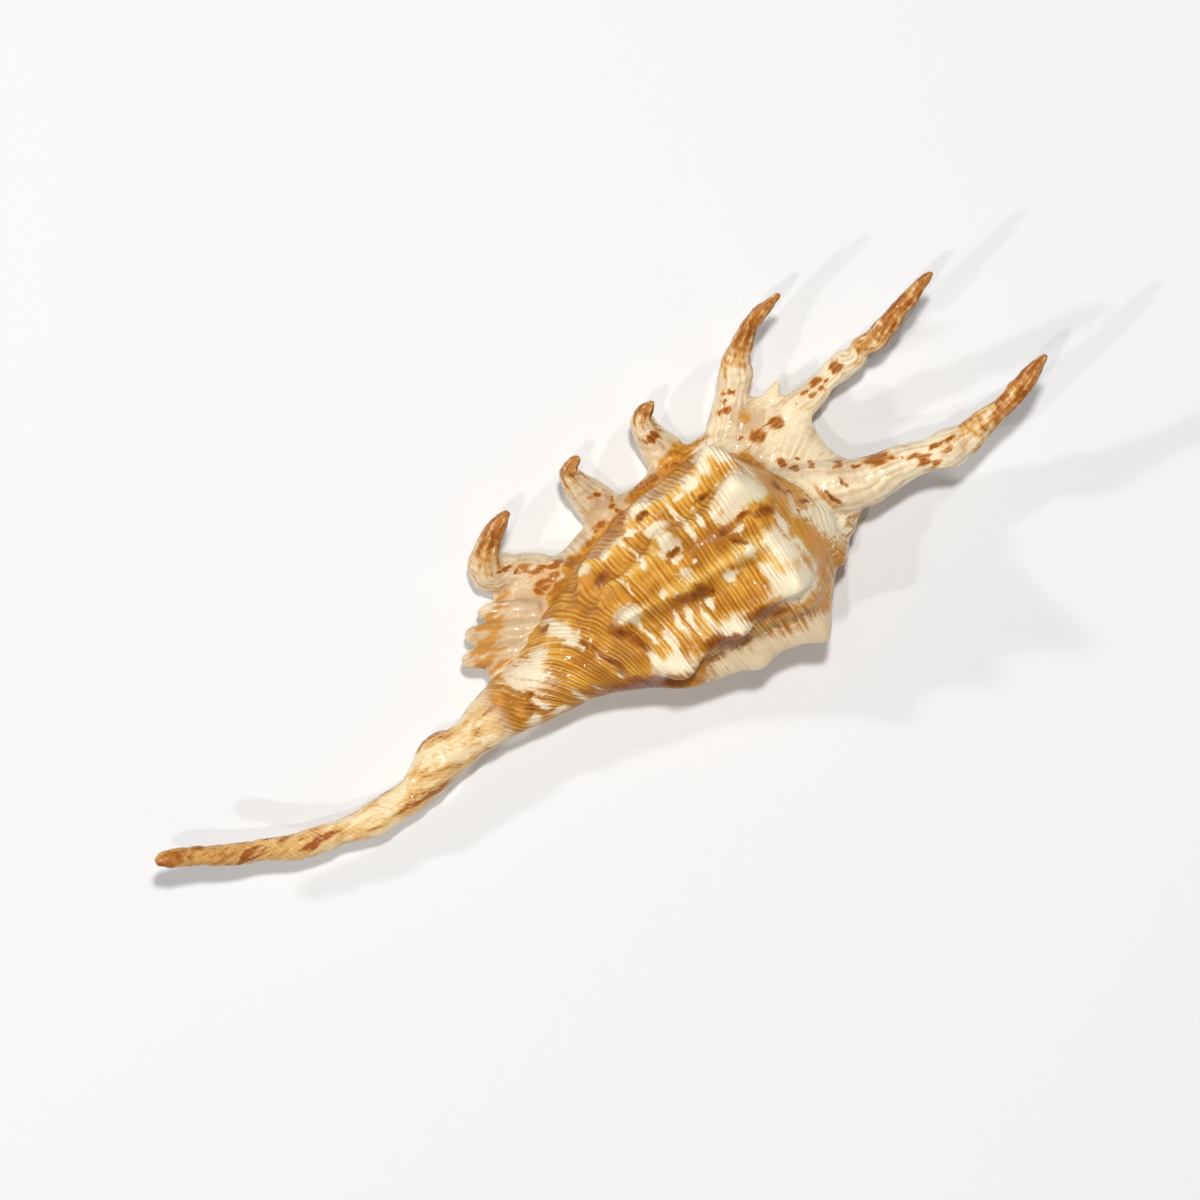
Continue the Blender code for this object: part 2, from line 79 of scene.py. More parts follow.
KNOBS = (  # distance in front of the shoulder, angle, height, half length and half width
    (0.2, -70, 1.4, 3, 3.8), (0.2, -17, 4.4, 4.4, 4.8), (4.6, 9, 2.2, 2.2, 2.8),
    (0.4, 35, 4, 4.4, 4.6), (0.2, 62, 3, 3.4, 4), (12.8, -72, 1.2, 2.4, 3.2),
    (11.8, -26, 3.2, 2.8, 3.8), (13.6, 6, 2, 2.6, 3.6), (12.6, 36, 3, 2.4, 4.4),
    (12.4, 64, 2.3, 2.6, 3.2), (25.8, -70, 1, 2.6, 3), (23.4, -36, 3.6, 3.4, 3.8),
    (23.4, 14, 2, 2.4, 3.2), (22.4, 38, 2.2, 2.4, 2.8), (21.8, 63, 2.8, 2.6, 3.2),
)
GROOVES = (  # angle at the shoulder and in front, depth, half width in degrees, and its start
    (-50, -56, 1.4, 9, -4), (-1, 2, 0.9, 8, 3), (21, 25, 0.8, 7, -3), (49, 50, 0.7, 6, -3),
)
KNOB_GIRTH = 17.0  # radius at which an angle counts as a width
KNOB_FLANKS = (2.4, 0.85)  # how steep its two sides are, away from the lip and towards it
SPIRE_KNOB = 1.9
SPIRE_KNOB_GAP = 40.0
KNOB_BLUNTNESS = 1.3
FOLDS = ((-70, -70), (-17, -38), (9, 14), (35, 39), (62, 63))  # angle at shoulder and in front
FOLD_END = 27.0
FOLD_HEIGHT = 1.4
FOLD_HALF_WIDTH = 3.4
FOLD_FLANKS = (2.2, 0.8)
VALLEY_DEPTH = 0.7
THINNEST = 0.25
CURVE_TOP = 16.0  # above the highest point of both curves that the nodes read
WHORL_ENDS = (-60.0, 34.2)
WHORL_STEP = 0.5
TURN_STEP = 1.5
CANAL = (  # x, y, z and radius, from root to tip
    (-24, -2, 12.6, 5.4), (-33, -2.2, 12.2, 5.4), (-40, -2.2, 11.6, 4.8), (-45, -3, 11, 4),
    (-50, -3.7, 10.4, 4), (-53.8, -3.9, 10, 4.8), (-58, -5.7, 9.6, 4), (-62, -7, 9.2, 3.2),
    (-66, -7.3, 9, 3.3), (-70, -7.5, 9, 3.4), (-75, -6.7, 9.4, 2.6), (-80, -5.7, 10.2, 2.75),
    (-85, -4.5, 11.4, 2.6), (-90, -2.1, 13, 2.3), (-95.5, 0.2, 15, 2.2), (-101, 3.2, 17.2, 2),
    (-105, 5, 19, 1.8), (-107.6, 5.6, 20, 1.1),
)
LIMB_RINGS = 140
CORDS_PER_STEP = 1.55
CORD_TURN_OFF = -30.0  # in front of this place the cords wind round the canal instead
CANAL_FIRST_CORD = 39.0
CANAL_CORDS = 0.65  # cords per millimetre along the canal
CANAL_CORD_TURN = 16.0  # cords per turn where the whorl runs into the canal
SHAPE = {"Geometry": "Geometry"}
GROWTH_RULE = "Turn growth, Apex x, Shoulder to apex, Lip drift, Flank slimming"


def smooth_steps(value, low, high):
    """0 below low, 1 above high, and a smooth step between them."""
    share = np.clip((value - low) / (high - low), 0.0, 1.0)
    return share * share * (3.0 - 2.0 * share)


def smooth_rows(rows, count):
    """The rows as a smooth curve through each of them, read at count even steps."""
    rows = np.array(rows, float)
    padded = np.vstack([2 * rows[0] - rows[1], rows, 2 * rows[-1] - rows[-2]])
    place = np.linspace(0.0, len(rows) - 1.0, count)
    start = np.minimum(place.astype(int), len(rows) - 2)
    t = (place - start)[:, None]
    before, here, after, beyond = (padded[start + i] for i in range(4))
    return 0.5 * (
        2 * here
        + (after - before) * t
        + (2 * before - 5 * here + 4 * after - beyond) * t**2
        + (3 * here - before - 3 * after + beyond) * t**3
    )


def mark(target, **marks):
    """Writes numbers on the points of a mesh, under their names."""
    for name, numbers in marks.items():
        written = target.data.attributes.new(name, "FLOAT", "POINT")
        written.data.foreach_set("value", np.ascontiguousarray(numbers, np.float32).ravel())


def placed(name, data):
    """One object of the scene, made from its mesh, lamp or camera."""
    made = bpy.data.objects.new(name, data)
    bpy.context.scene.collection.objects.link(made)
    return made


def skin(name, rings, **marks):
    """A closed skin through rings of points, with its marks. Strips across it close both ends."""
    rings = np.asarray(rings, float)
    count, sides = rings.shape[:2]
    near = np.arange(count - 1)[:, None] * sides + np.arange(sides)
    beside = np.arange(count - 1)[:, None] * sides + np.roll(np.arange(sides), -1)
    faces = np.stack([near, beside, beside + sides, near + sides], axis=-1)
    faces = faces.reshape(-1, 4).tolist()
    for first in (0, (count - 1) * sides):
        for i in range(sides // 2 - 1):
            faces.append((first + i, first + i + 1, first + sides - 2 - i, first + sides - 1 - i))
    data = bpy.data.meshes.new(name)
    data.from_pydata(rings.reshape(-1, 3).tolist(), [], faces)
    made = placed(name, data)
    mark(made, **marks)
    return made


def faced_out(target):
    """Turns the faces of closed skins outwards."""
    mesh = bmesh.new()
    mesh.from_mesh(target.data)
    bmesh.ops.recalc_face_normals(mesh, faces=mesh.faces)
    mesh.to_mesh(target.data)
    mesh.free()


def last_whorl(x, angle):
    """Size of the last whorl at an angle, and how far in front of its shoulder x is there."""
    size = TURN_GROWTH ** ((angle + 90.0) / 360.0)
    spire_size = TURN_GROWTH ** ((np.minimum(angle, -90.0) + 90.0) / 360.0)
    shoulder = APEX_X - SHOULDER_TO_APEX * spire_size
    shoulder = shoulder - LIP_DRIFT * smooth_steps(angle, *DRIFT_ANGLES)
    return size, (shoulder - x) / size


def knob_relief(size, ahead, angle):
    """Height of the knobs and of the folds that join them on the last whorl."""
    girth = KNOB_GIRTH * size
    relief = np.zeros_like(ahead)
    for knob_ahead, knob_angle, height, half_length, half_width in KNOBS:
        along = (ahead - knob_ahead) * size / half_length
        across = np.radians(angle - knob_angle) * girth / half_width
        across *= np.where(across < 0.0, *KNOB_FLANKS)
        relief += height * np.exp(-((along**2 + across**2) ** KNOB_BLUNTNESS))
    front = np.clip(ahead / FOLD_END, 0.0, 1.0)
    reach = smooth_steps(ahead, -1.5, 1.0) * (1.0 - smooth_steps(front, 0.75, 1.0))
    for shoulder_angle, front_angle in FOLDS:
        middle = shoulder_angle + (front_angle - shoulder_angle) * front
        across = np.radians(angle - middle) * girth / FOLD_HALF_WIDTH
        across *= np.where(across < 0.0, *FOLD_FLANKS)
        relief += FOLD_HEIGHT * reach * np.exp(-(across**2))
    back = smooth_steps(angle, -85.0, -60.0) * (1.0 - smooth_steps(angle, 60.0, 85.0))
    valley = smooth_steps(ahead, 1.0, 5.0) * (1.0 - smooth_steps(ahead, 22.0, 32.0)) * back
    relief -= VALLEY_DEPTH * valley * (1.0 - np.minimum(relief / 1.6, 1.0))
    for shoulder_angle, front_angle, depth, half_width, start in GROOVES:
        middle = shoulder_angle + (front_angle - shoulder_angle) * front
        reach = smooth_steps(ahead, start, start + 3.0) * (1.0 - smooth_steps(ahead, 24.0, 32.0))
        relief -= depth * reach * np.exp(-(((angle - middle) / half_width) ** 2))
    return relief


class Tree:
    """A tree of nodes under construction. Its inputs and outputs are named under their kinds."""

    def __init__(self, name, inputs, outputs):
        self.group = bpy.data.node_groups.new(name, "GeometryNodeTree")
        for side, sockets in (("INPUT", inputs), ("OUTPUT", outputs)):
            for kind, labels in sockets.items():
                for label in labels.split(", "):
                    self.group.interface.new_socket(
                        name=label, in_out=side, socket_type="NodeSocket" + kind
                    )
        self.inputs = self.group.nodes.new("NodeGroupInput").outputs
        self.outputs = self.group.nodes.new("NodeGroupOutput").inputs

    def take(self, label):
        return Worked(self.group, self.inputs[label])

    def give(self, label, value):
        self.group.links.new(value.socket, self.outputs[label])

    def node(self, kind, *values, out=0, **settings):
        return placed_node(self.group, kind, *values, out=out, **settings)

    def read(self, name):
        return self.node("GeometryNodeInputNamedAttribute", name)

    def store(self, geometry, name, value):
        return self.node("GeometryNodeStoreNamedAttribute", geometry, None, name, value)

    def shape_of(self, label):
        return self.node("GeometryNodeObjectInfo", self.take(label), out=4)  # its geometry

    def gives(self, shape):
        self.give("Geometry", shape)
        return self.group

    def gives_real(self, shape):
        """Ends the tree with real faces in its material."""
        shape = self.node("GeometryNodeRealizeInstances", shape)
        return self.gives(
            self.node("GeometryNodeSetMaterial", shape, None, self.take("Material"))
        )

    def scaled(self, vector, amount):
        made = self.node("ShaderNodeVectorMath", vector, operation="SCALE")
        self.group.links.new(amount.socket, made.socket.node.inputs["Scale"])
        return made


def placed_node(tree, kind, *values, out=0, **settings):
    """One node with its settings. Its inputs are set in order, and None leaves one alone."""
    made = tree.nodes.new(kind)
    for name, setting in settings.items():
        setattr(made, name, setting)
    sockets = [socket for socket in made.inputs if socket.enabled]
    for socket, value in zip(sockets, values):
        if isinstance(value, Worked):
            tree.links.new(value.socket, socket)
        elif value is not None:
            socket.default_value = value
    return Worked(tree, [socket for socket in made.outputs if socket.enabled][out])


class Worked:
    """A value that nodes work out. Sums with it become nodes of its tree."""

    def __init__(self, tree, socket):
        self.tree = tree
        self.socket = socket

    def maths(self, operation, *others):
        return placed_node(self.tree, "ShaderNodeMath", self, *others, operation=operation)

    def __add__(self, other):
        return self.maths("ADD", other)

    def __sub__(self, other):
        return self.maths("SUBTRACT", other)

    def __rsub__(self, other):
        return self.maths("MULTIPLY", -1.0).maths("ADD", other)

    def __mul__(self, other):
        return self.maths("MULTIPLY", other)

    def __truediv__(self, other):
        return self.maths("DIVIDE", other)

    __radd__ = __add__
    __rmul__ = __mul__

    def step(self, low, high, start=0.0, end=1.0):
        """A smooth step from start, at low, to end, at high."""
        return placed_node(
            self.tree, "ShaderNodeMapRange", self, low, high, start, end,
            interpolation_type="SMOOTHSTEP",
        )

    def curve(self, points):
        """Reads a line of straight stretches between the points."""
        low, high = points[0][0], points[-1][0]
        share = (self - low) / (high - low)
        made = self.tree.nodes.new("ShaderNodeFloatCurve")
        line = made.mapping.curves[0]
        while len(line.points) < len(points):
            line.points.new(0.5, 0.5)
        for point, (place, height) in zip(line.points, points):
            point.location = ((place - low) / (high - low), height / CURVE_TOP)
            point.handle_type = "VECTOR"
        made.mapping.update()
        self.tree.links.new(share.socket, made.inputs["Value"])
        return Worked(self.tree, made.outputs[0]) * CURVE_TOP


def one_whorl():
    """Radius of the whorl that passes an angle, and how far in front of its shoulder that is."""
    tree = Tree("one whorl", {"Float": "Along, Angle, " + GROWTH_RULE}, {"Float": "Radius, Ahead"})
    along, angle, rate = (tree.take(label) for label in ("Along", "Angle", "Turn growth"))
    size = rate.maths("POWER", (angle + 90.0) / 360.0)
    spire_size = rate.maths("POWER", (angle.maths("MINIMUM", -90.0) + 90.0) / 360.0)
    shoulder = tree.take("Apex x") - tree.take("Shoulder to apex") * spire_size
    shoulder = shoulder - tree.take("Lip drift") * angle.step(*DRIFT_ANGLES)
    ahead = (shoulder - along) / size
    radius = size * ahead.curve(WHORL_PROFILE)
    flank = angle.step(*FLANK_ANGLES) * ahead.step(*FLANK_AHEAD)
    radius = radius * (1.0 - tree.take("Flank slimming") * flank)
    row = ((angle + 98.0) * (math.pi / SPIRE_KNOB_GAP)).maths("COSINE").maths("POWER", 4.0)
    off_ridge = (ahead - 0.6) / 1.6
    ridge = (off_ridge * off_ridge * -0.5).maths("EXPONENT")
    spire_knobs = angle.step(-190.0, -150.0, SPIRE_KNOB, 0.0) * size * row * ridge
    first, last = WHORL_PROFILE[0][0], WHORL_PROFILE[-1][0]
    inside = ahead.maths("GREATER_THAN", first) * ahead.maths("LESS_THAN", last)
    tree.give("Radius", (radius + spire_knobs) * inside)
    tree.give("Ahead", ahead)
    return tree.group


def whorls_tree():
    """Winds the rings of a plain tube into whorls, each of them a fixed factor bigger."""
    tree = Tree(
        "whorls by growth", SHAPE | {"Float": GROWTH_RULE + ", Lip angle, Callus sharpness"}, SHAPE
    )
    whorl = one_whorl()
    rule = [tree.take(label) for label in GROWTH_RULE.split(", ")]
    along, turn = tree.read("along"), tree.read("turn")
    last = turn - turn.maths("GREATER_THAN", tree.take("Lip angle")) * 360.0
    for turns_back in range(SPIRE_WHORLS + 1):
        made = tree.group.nodes.new("GeometryNodeGroup")
        made.node_tree = whorl
        values = [along, last - 360.0 * turns_back, *rule]
        for socket, value in zip(made.inputs, values):
            tree.group.links.new(value.socket, socket)
        this_radius, this_ahead = (Worked(tree.group, socket) for socket in made.outputs)
        if turns_back == 0:
            radius = this_radius + tree.read("relief")
            ahead = this_ahead
        else:
            bigger = this_radius.maths("GREATER_THAN", radius)
            ahead = ahead + (this_ahead * 0.6 - ahead) * bigger
            radius = radius.maths("MAXIMUM", this_radius)
    from_under = 180.0 - turn.maths("ABSOLUTE")
    callus = along.curve(CALLUS) * from_under.step(10.0, 75.0, 1.0, 0.5)
    sharpness = tree.take("Callus sharpness")
    apart = (radius - callus).maths("ABSOLUTE") * sharpness
    fillet = ((apart * -1.0).maths("EXPONENT") + 1.0).maths("LOGARITHM", math.e) / sharpness
    glaze = (callus - radius).step(-1.2, 0.6)
    radius = (radius.maths("MAXIMUM", callus) + fillet) * along.step(-60.0, -44.0)
    radius = radius.maths("MAXIMUM", THINNEST)
    turned = turn * (math.pi / 180.0)
    centre = tree.read("centre_y"), tree.read("centre_z")
    y, z = centre[0] + radius * turned.maths("SINE"), centre[1] + radius * turned.maths("COSINE")
    place = tree.node("ShaderNodeCombineXYZ", along, y, z)
    wound = tree.node("GeometryNodeSetPosition", tree.take("Geometry"), None, place)
    front = along.step(CORD_TURN_OFF - 8.0, CORD_TURN_OFF, 1.0, 0.0)
    canal_cord = (CORD_TURN_OFF - along) * CANAL_CORDS + CANAL_FIRST_CORD
    canal_cord = canal_cord - turn * (CANAL_CORD_TURN / 360.0)
    marks = {
        "cord": (ahead + (canal_cord - ahead) * front) * CORDS_PER_STEP,
        "grow": last * (math.pi / 180.0 * KNOB_GIRTH),
        "glaze": glaze,
    }
    for name, value in marks.items():
        wound = tree.store(wound, name, value)
    return tree.gives(wound)


def with_nodes(target, group, **values):
    """Adds a tree to an object and sets its named inputs."""
    made = target.modifiers.new(group.name, "NODES")
    made.node_group = group
    for label, value in values.items():
        wanted = label.replace("_", " ").lower()
        for item in group.interface.items_tree:
            if item.in_out == "INPUT" and item.name.lower() == wanted:
                made[item.identifier] = value


def as_made(target):
    """Turns what an object's modifiers make into its own plain mesh."""
    graph = bpy.context.evaluated_depsgraph_get()
    data = bpy.data.meshes.new_from_object(target.evaluated_get(graph), depsgraph=graph)
    target.modifiers.clear()
    target.data = data


turns = np.arange(-180.0, 180.0, TURN_STEP)
alongs = np.arange(*WHORL_ENDS, WHORL_STEP)
along, turn = np.meshgrid(alongs, turns, indexing="ij")
last_turn = np.where(turn < LIP_ANGLE, turn, turn - 360.0)
canal_line = smooth_rows(CANAL, LIMB_RINGS)[::-1]
straight = smooth_steps(along, -44.0, -22.0)
centres = [
    np.interp(along, canal_line[:, 0], canal_line[:, i]) * (1.0 - straight) + axis * straight
    for i, axis in ((1, AXIS_Y), (2, AXIS_Z))
]
tube = np.stack([along, np.sin(np.radians(turn)), np.cos(np.radians(turn))], axis=-1)
relief = knob_relief(*last_whorl(along, last_turn), last_turn)
whorls = skin(
    "whorls", tube, along=along, turn=turn, centre_y=centres[0], centre_z=centres[1], relief=relief
)
with_nodes(
    whorls, whorls_tree(), turn_growth=TURN_GROWTH, apex_x=APEX_X,
    shoulder_to_apex=SHOULDER_TO_APEX, lip_drift=LIP_DRIFT, flank_slimming=FLANK_SLIMMING,
    lip_angle=LIP_ANGLE, callus_sharpness=1.6,
)
as_made(whorls)
faced_out(whorls)
past_canal = smooth_steps(along.ravel(), -46.0, -35.0)
mark(whorls, body=past_canal, canal=1.0 - past_canal, limb=1.0 - past_canal)


# ---- The canal and the fingers ----
# The long front canal and the six fingers of the lip, with the rolled folds of its notch. Each is a
# tapering tube along its own bent line, and the seam where the fingers rolled shut runs beneath.

FINGERS = {  # x, y, z and radius
    "front": (
        (-16, 11, 8, 3), (-21.4, 16.2, 4.6, 3.4), (-26.6, 19, 3.4, 3.8), (-30, 21.2, 6.8, 3.6),
        (-28.7, 24, 11, 2.7), (-25.8, 26.2, 14.4, 2.2), (-23.2, 27.7, 16.6, 1.7),
        (-21, 28.6, 18.2, 0.9),
    ),
    "second": (
        (-4, 13, 6.5, 3.6), (-6.2, 19.6, 3.8, 4.2), (-7.4, 24, 6.4, 3.6), (-8.3, 26.8, 10, 2.8),
        (-8.4, 29, 13, 2), (-7, 30.2, 15.4, 1.4), (-5.2, 30.7, 17, 0.8),
    ),
    "third": (
        (8.6, 16, 6.5, 3.8), (8.4, 22.6, 3.8, 4.2), (7.8, 26.6, 6.8, 3.3), (7.5, 29.6, 10.6, 2.7),
        (8.3, 31.4, 13.4, 2), (9.8, 32.2, 15.4, 1.4), (11.3, 32.5, 16.8, 0.8),
    ),
    "fourth": (
        (15, 15, 8, 4), (21.2, 22.6, 6.8, 4), (24.6, 27, 8.4, 3.1), (26.8, 30.1, 10.4, 3.4),
        (28.4, 32, 12, 2.6), (30.4, 33.8, 14, 2.2), (33, 35.7, 16.4, 1.7), (35.4, 36.8, 18.2, 1.7),
        (37.4, 37.2, 19.6, 1.25), (40.3, 38, 21.4, 0.7),
    ),
    "fifth": (
        (20, 12, 9.5, 4.6), (30, 18, 8.4, 3.4), (36.6, 19.4, 10, 2.8), (40.2, 20.4, 11, 2.3),
        (43.4, 21.2, 12.2, 2.8), (46.3, 21.3, 13.2, 2.4), (48.4, 22.5, 14.2, 2),
        (51, 22.3, 15.2, 2.2), (54, 23.2, 16.6, 2.3), (57, 24.5, 18, 1.9), (60, 25.5, 19.4, 1.8),
        (63.2, 26.8, 21, 1.4), (65.9, 27.7, 22.4, 0.7),
    ),
    "hind": (
        (18, 8, 12, 5.6), (29, 3.6, 14.5, 5.4), (37, 1.2, 15, 4.6), (43, 0.7, 15.4, 3.8),
        (47, 0.1, 16, 3.3), (50, -0.7, 16.8, 3.3), (53.6, -1.2, 17.8, 3.9), (57, -1.1, 18.8, 3),
        (60.5, -0.3, 20, 2.6), (64.5, 0.4, 21.6, 2.1), (68.4, 1.7, 23.2, 2.2), (71.6, 3, 24.8, 1.9),
        (74.2, 4.1, 26.2, 1.3), (75.8, 4.6, 27, 0.7),
    ),
}
LIP_FOLDS = (  # three at the notch, and a spur beside the fifth finger
    (
        (-28, 4.6, 10.4, 1.8), (-34, 6.8, 10.8, 2.1), (-38.4, 8.3, 9.8, 2.1), (-41, 8.9, 8.4, 1.7),
        (-42, 9.1, 7.8, 0.9),
    ),
    (
        (-27, 7.8, 9.6, 1.8), (-32.4, 10.3, 9.8, 2), (-36.6, 12, 8.4, 1.9), (-38.6, 12.7, 7, 1.5),
        (-39.4, 13, 6.6, 0.8),
    ),
    (
        (-25, 10.6, 8.6, 1.7), (-30, 13.1, 8.6, 1.9), (-33.2, 14.6, 7.2, 1.7),
        (-34.8, 15.2, 5.8, 1.2), (-35.3, 15.5, 5.4, 0.7),
    ),
    (
        (24, 20, 7.6, 1.4), (29, 22.4, 8.4, 1.4), (31.4, 23.7, 9, 1.2), (32.9, 24.8, 9.3, 0.6),
    ),
)
FINGER_CORDS = 13.0
CANAL_TWIST = 3.2  # cords per turn, for each millimetre of the canal's radius
BROWN_TIPS = {  # share of the length past which it is brown, and a fold has no brown tip
    "front": 0.6, "second": 0.7, "third": 0.7, "fourth": 0.48, "fifth": 0.56, "hind": 0.62,
    "canal": 0.86, "fold": 2.0,
}


def limbs_tree():
    """Sweeps a ring along each bent line, as wide as the line says, and presses the seam in."""
    inputs = SHAPE | {"Int": "Sides", "Float": "Seam depth, Seam width"}
    tree = Tree("limbs along their lines", inputs, SHAPE)
    line = tree.node("GeometryNodeMeshToCurve", tree.take("Geometry"))
    line = tree.node("GeometryNodeSetCurveNormal", line, mode="Z_UP")
    capture = tree.group.nodes.new("GeometryNodeCaptureAttribute")
    capture.capture_items.new("VECTOR", "centre")
    capture.capture_items.new("VECTOR", "forward")
    tree.group.links.new(line.socket, capture.inputs[0])
    for socket, kind in ((1, "GeometryNodeInputPosition"), (2, "GeometryNodeInputTangent")):
        tree.group.links.new(tree.node(kind).socket, capture.inputs[socket])
    line, centre, forward = (Worked(tree.group, capture.outputs[i]) for i in range(3))
    ring = tree.node("GeometryNodeCurvePrimitiveCircle", tree.take("Sides"), 1.0, mode="RADIUS")
    limbs = tree.node("GeometryNodeCurveToMesh", line, ring, tree.read("girth"), True)

    def vectors(operation, *values):
        return tree.node("ShaderNodeVectorMath", *values, operation=operation)

    outward = vectors("SUBTRACT", tree.node("GeometryNodeInputPosition"), centre)
    unit = vectors("NORMALIZE", outward)
    side = vectors("NORMALIZE", vectors("CROSS_PRODUCT", (0.0, 0.0, 1.0), forward))
    up = vectors("CROSS_PRODUCT", forward, side)
    high, wide = vectors("DOT_PRODUCT", unit, up), vectors("DOT_PRODUCT", unit, side)
    turned = wide.maths("ARCTAN2", high) / (2.0 * math.pi)
    seam = ((high + 1.0) / tree.take("Seam width") * -1.0).maths("EXPONENT")
    depth = seam * tree.take("Seam depth") * tree.read("share").step(0.25, 0.5)
    pressed = tree.scaled(outward, depth * -1.0)
    limbs = tree.node("GeometryNodeSetPosition", limbs, None, None, pressed)
    finger_cord = turned * FINGER_CORDS
    to_turn_off = CANAL[0][0] - CORD_TURN_OFF
    canal_cord = (tree.read("grow") - to_turn_off) * CANAL_CORDS + CANAL_FIRST_CORD
    canal_cord = canal_cord + turned * tree.read("girth") * CANAL_TWIST
    cord = finger_cord + (canal_cord * CORDS_PER_STEP - finger_cord) * tree.read("canal")
    return tree.gives(tree.store(limbs, "cord", cord))


limb_lines = [("canal", CANAL)] + list(FINGERS.items()) + [("fold", rows) for rows in LIP_FOLDS]
points, edges, limb_marks = [], [], []
for name, rows in limb_lines:
    line = smooth_rows(rows, LIMB_RINGS)
    steps = np.linalg.norm(np.diff(line[:, :3], axis=0), axis=1)
    grown = np.concatenate([[0.0], np.cumsum(steps)])
    share = np.linspace(0.0, 1.0, LIMB_RINGS)
    is_fold, is_canal = (np.full(LIMB_RINGS, float(name == kind)) for kind in ("fold", "canal"))
    edges += [(len(points) + i, len(points) + i + 1) for i in range(LIMB_RINGS - 1)]
    points += line[:, :3].tolist()
    limb_marks.append({
        "girth": np.maximum(line[:, 3], 0.3), "share": share, "grow": grown,
        "canal": is_canal, "limb": 1.0 - is_fold, "lip": is_fold,
        "tip": smooth_steps(share, BROWN_TIPS[name] - 0.4, BROWN_TIPS[name] + 0.2),
    })
limbs_data = bpy.data.meshes.new("limbs")
limbs_data.from_pydata(points, edges, [])
limbs = placed("limbs", limbs_data)
mark(limbs, **{name: np.concatenate([one[name] for one in limb_marks]) for name in limb_marks[0]})
with_nodes(limbs, limbs_tree(), sides=36, seam_depth=0.22, seam_width=0.058)
as_made(limbs)
faced_out(limbs)


# ---- The lip ----
# The flared outer lip that carries the fingers: a bowed wall that thins from its root in the whorl
# to a rounded edge. Rings from root to edge and back make it, from the notch to the spire.

LIP_EDGE = (  # x, y and z, from the notch to the spire
    (-39.2, 2.6, 9.4), (-39.3, 6.2, 8.4), (-39.2, 9, 7.6), (-36.8, 11.6, 6.4), (-34, 14.2, 5),
    (-30.6, 17.2, 4), (-25, 19.2, 3.4), (-18, 17.6, 3.4), (-12, 19.2, 3.4), (-5, 21, 3.6),
    (2, 21.6, 3.8), (8, 23, 4), (15, 23, 5), (21, 24, 6.4), (27, 24.6, 7.6), (31, 22.4, 8.6),
    (34.6, 19.4, 9.4), (34.2, 13.6, 10.4), (34.8, 9, 12), (37.6, 4.6, 13.6),
)
LIP_ROOT = (
    (-33, 0, 10), (-31, 1, 9.6), (-29, 2.4, 9), (-27, 3.8, 8.2), (-25, 5.4, 7.4), (-22, 7.4, 6.6),
    (-19, 8.6, 5.8), (-15, 10, 5.2), (-10, 11, 5), (-5, 12, 5), (1, 12.6, 5), (6, 13, 5.4),
    (11, 13, 6), (15, 12, 7), (18, 11, 8.4), (20, 10, 9.4), (22, 8.6, 10.4), (23, 7, 11.6),
    (24, 5, 12.8), (26, 2, 13.6),
)
LIP_WALLS = (6.4, 2.8)  # thickness at its root and at its edge
LIP_BOW = 0.9
LIP_STATIONS = 280
LIP_ROWS = 30
LIP_CORD_GAP = 1.25
LIP_FIRST_GROWTH = 24.0  # its growth lines go on from those of the whorl
UNDER_GLAZE = 0.8


def round_edge(top, under):
    """Rows from the root to the edge on top, and back to the root beneath."""
    return np.concatenate([top, under[:, ::-1]], axis=1)


edge = smooth_rows(LIP_EDGE, LIP_STATIONS)
root = smooth_rows(LIP_ROOT, LIP_STATIONS)
share = np.linspace(0.0, 1.0, LIP_ROWS)
half_wall = 0.5 * (LIP_WALLS[0] + (LIP_WALLS[1] - LIP_WALLS[0]) * share)
half_wall = half_wall * np.sqrt(1.0 - smooth_steps(share, 0.8, 1.06))
bow = LIP_BOW * np.sin(np.pi * share)
middle = root[:, None] + share[None, :, None] * (edge - root)[:, None]
rise = np.array([0.0, 0.0, 1.0])
top = middle + (half_wall + bow)[None, :, None] * rise
under = middle - (half_wall - 0.4 * bow)[None, :, None] * rise
width = np.linalg.norm(edge - root, axis=1)[:, None] * share[None, :]
track = middle[:, LIP_ROWS // 3]
station = np.concatenate([[0.0], np.cumsum(np.linalg.norm(np.diff(track, axis=0), axis=1))])
station = np.repeat(station[:, None], LIP_ROWS, axis=1) / LIP_CORD_GAP
grown = width + LIP_FIRST_GROWTH
none, full = np.zeros_like(station), np.ones_like(station)
lip = skin(
    "lip", round_edge(top, under), cord=round_edge(station, station),
    grow=round_edge(grown, grown), lip=round_edge(full, full),
    glaze=round_edge(none, UNDER_GLAZE * full),
)
faced_out(lip)


# ---- One shell ----
# The shell grew as one piece, so its parts are fused in one skin. The aperture is then opened from
# below, where the hollow follows the last whorl inside its wall.

FIRST_MESH = 0.45
FIRST_SMOOTHING = 6
FINE_MESH = 0.25
FINE_SMOOTHING = 4
MOUTH_MESH = 0.5
MOUTH_ENDS = (-31.0, 15.0)
MOUTH_TURN = (  # angle, then its middle and its half height as shares of the whorl's radius
    (-12, 0.71, 0.03), (10, 0.71, 0.1), (36, 0.71, 0.14), (62, 0.71, 0.155), (88, 0.71, 0.17),
    (108, 0.71, 0.17),
)
MOUTH_SLOT = (  # x, y and half width
    (-31, 1, 1.8), (-22, 5.4, 3), (-10, 8.6, 3.8), (4, 10.2, 4), (15, 11.6, 2.8),
)
MOUTH_SLOT_PATH = ((0.8, 4.6, 1), (0, -1, 1.1), (-0.4, -6, 1.3))  # shift, z and widening
MOUTH_RINGS = 70
MOUTH_ROWS = 48


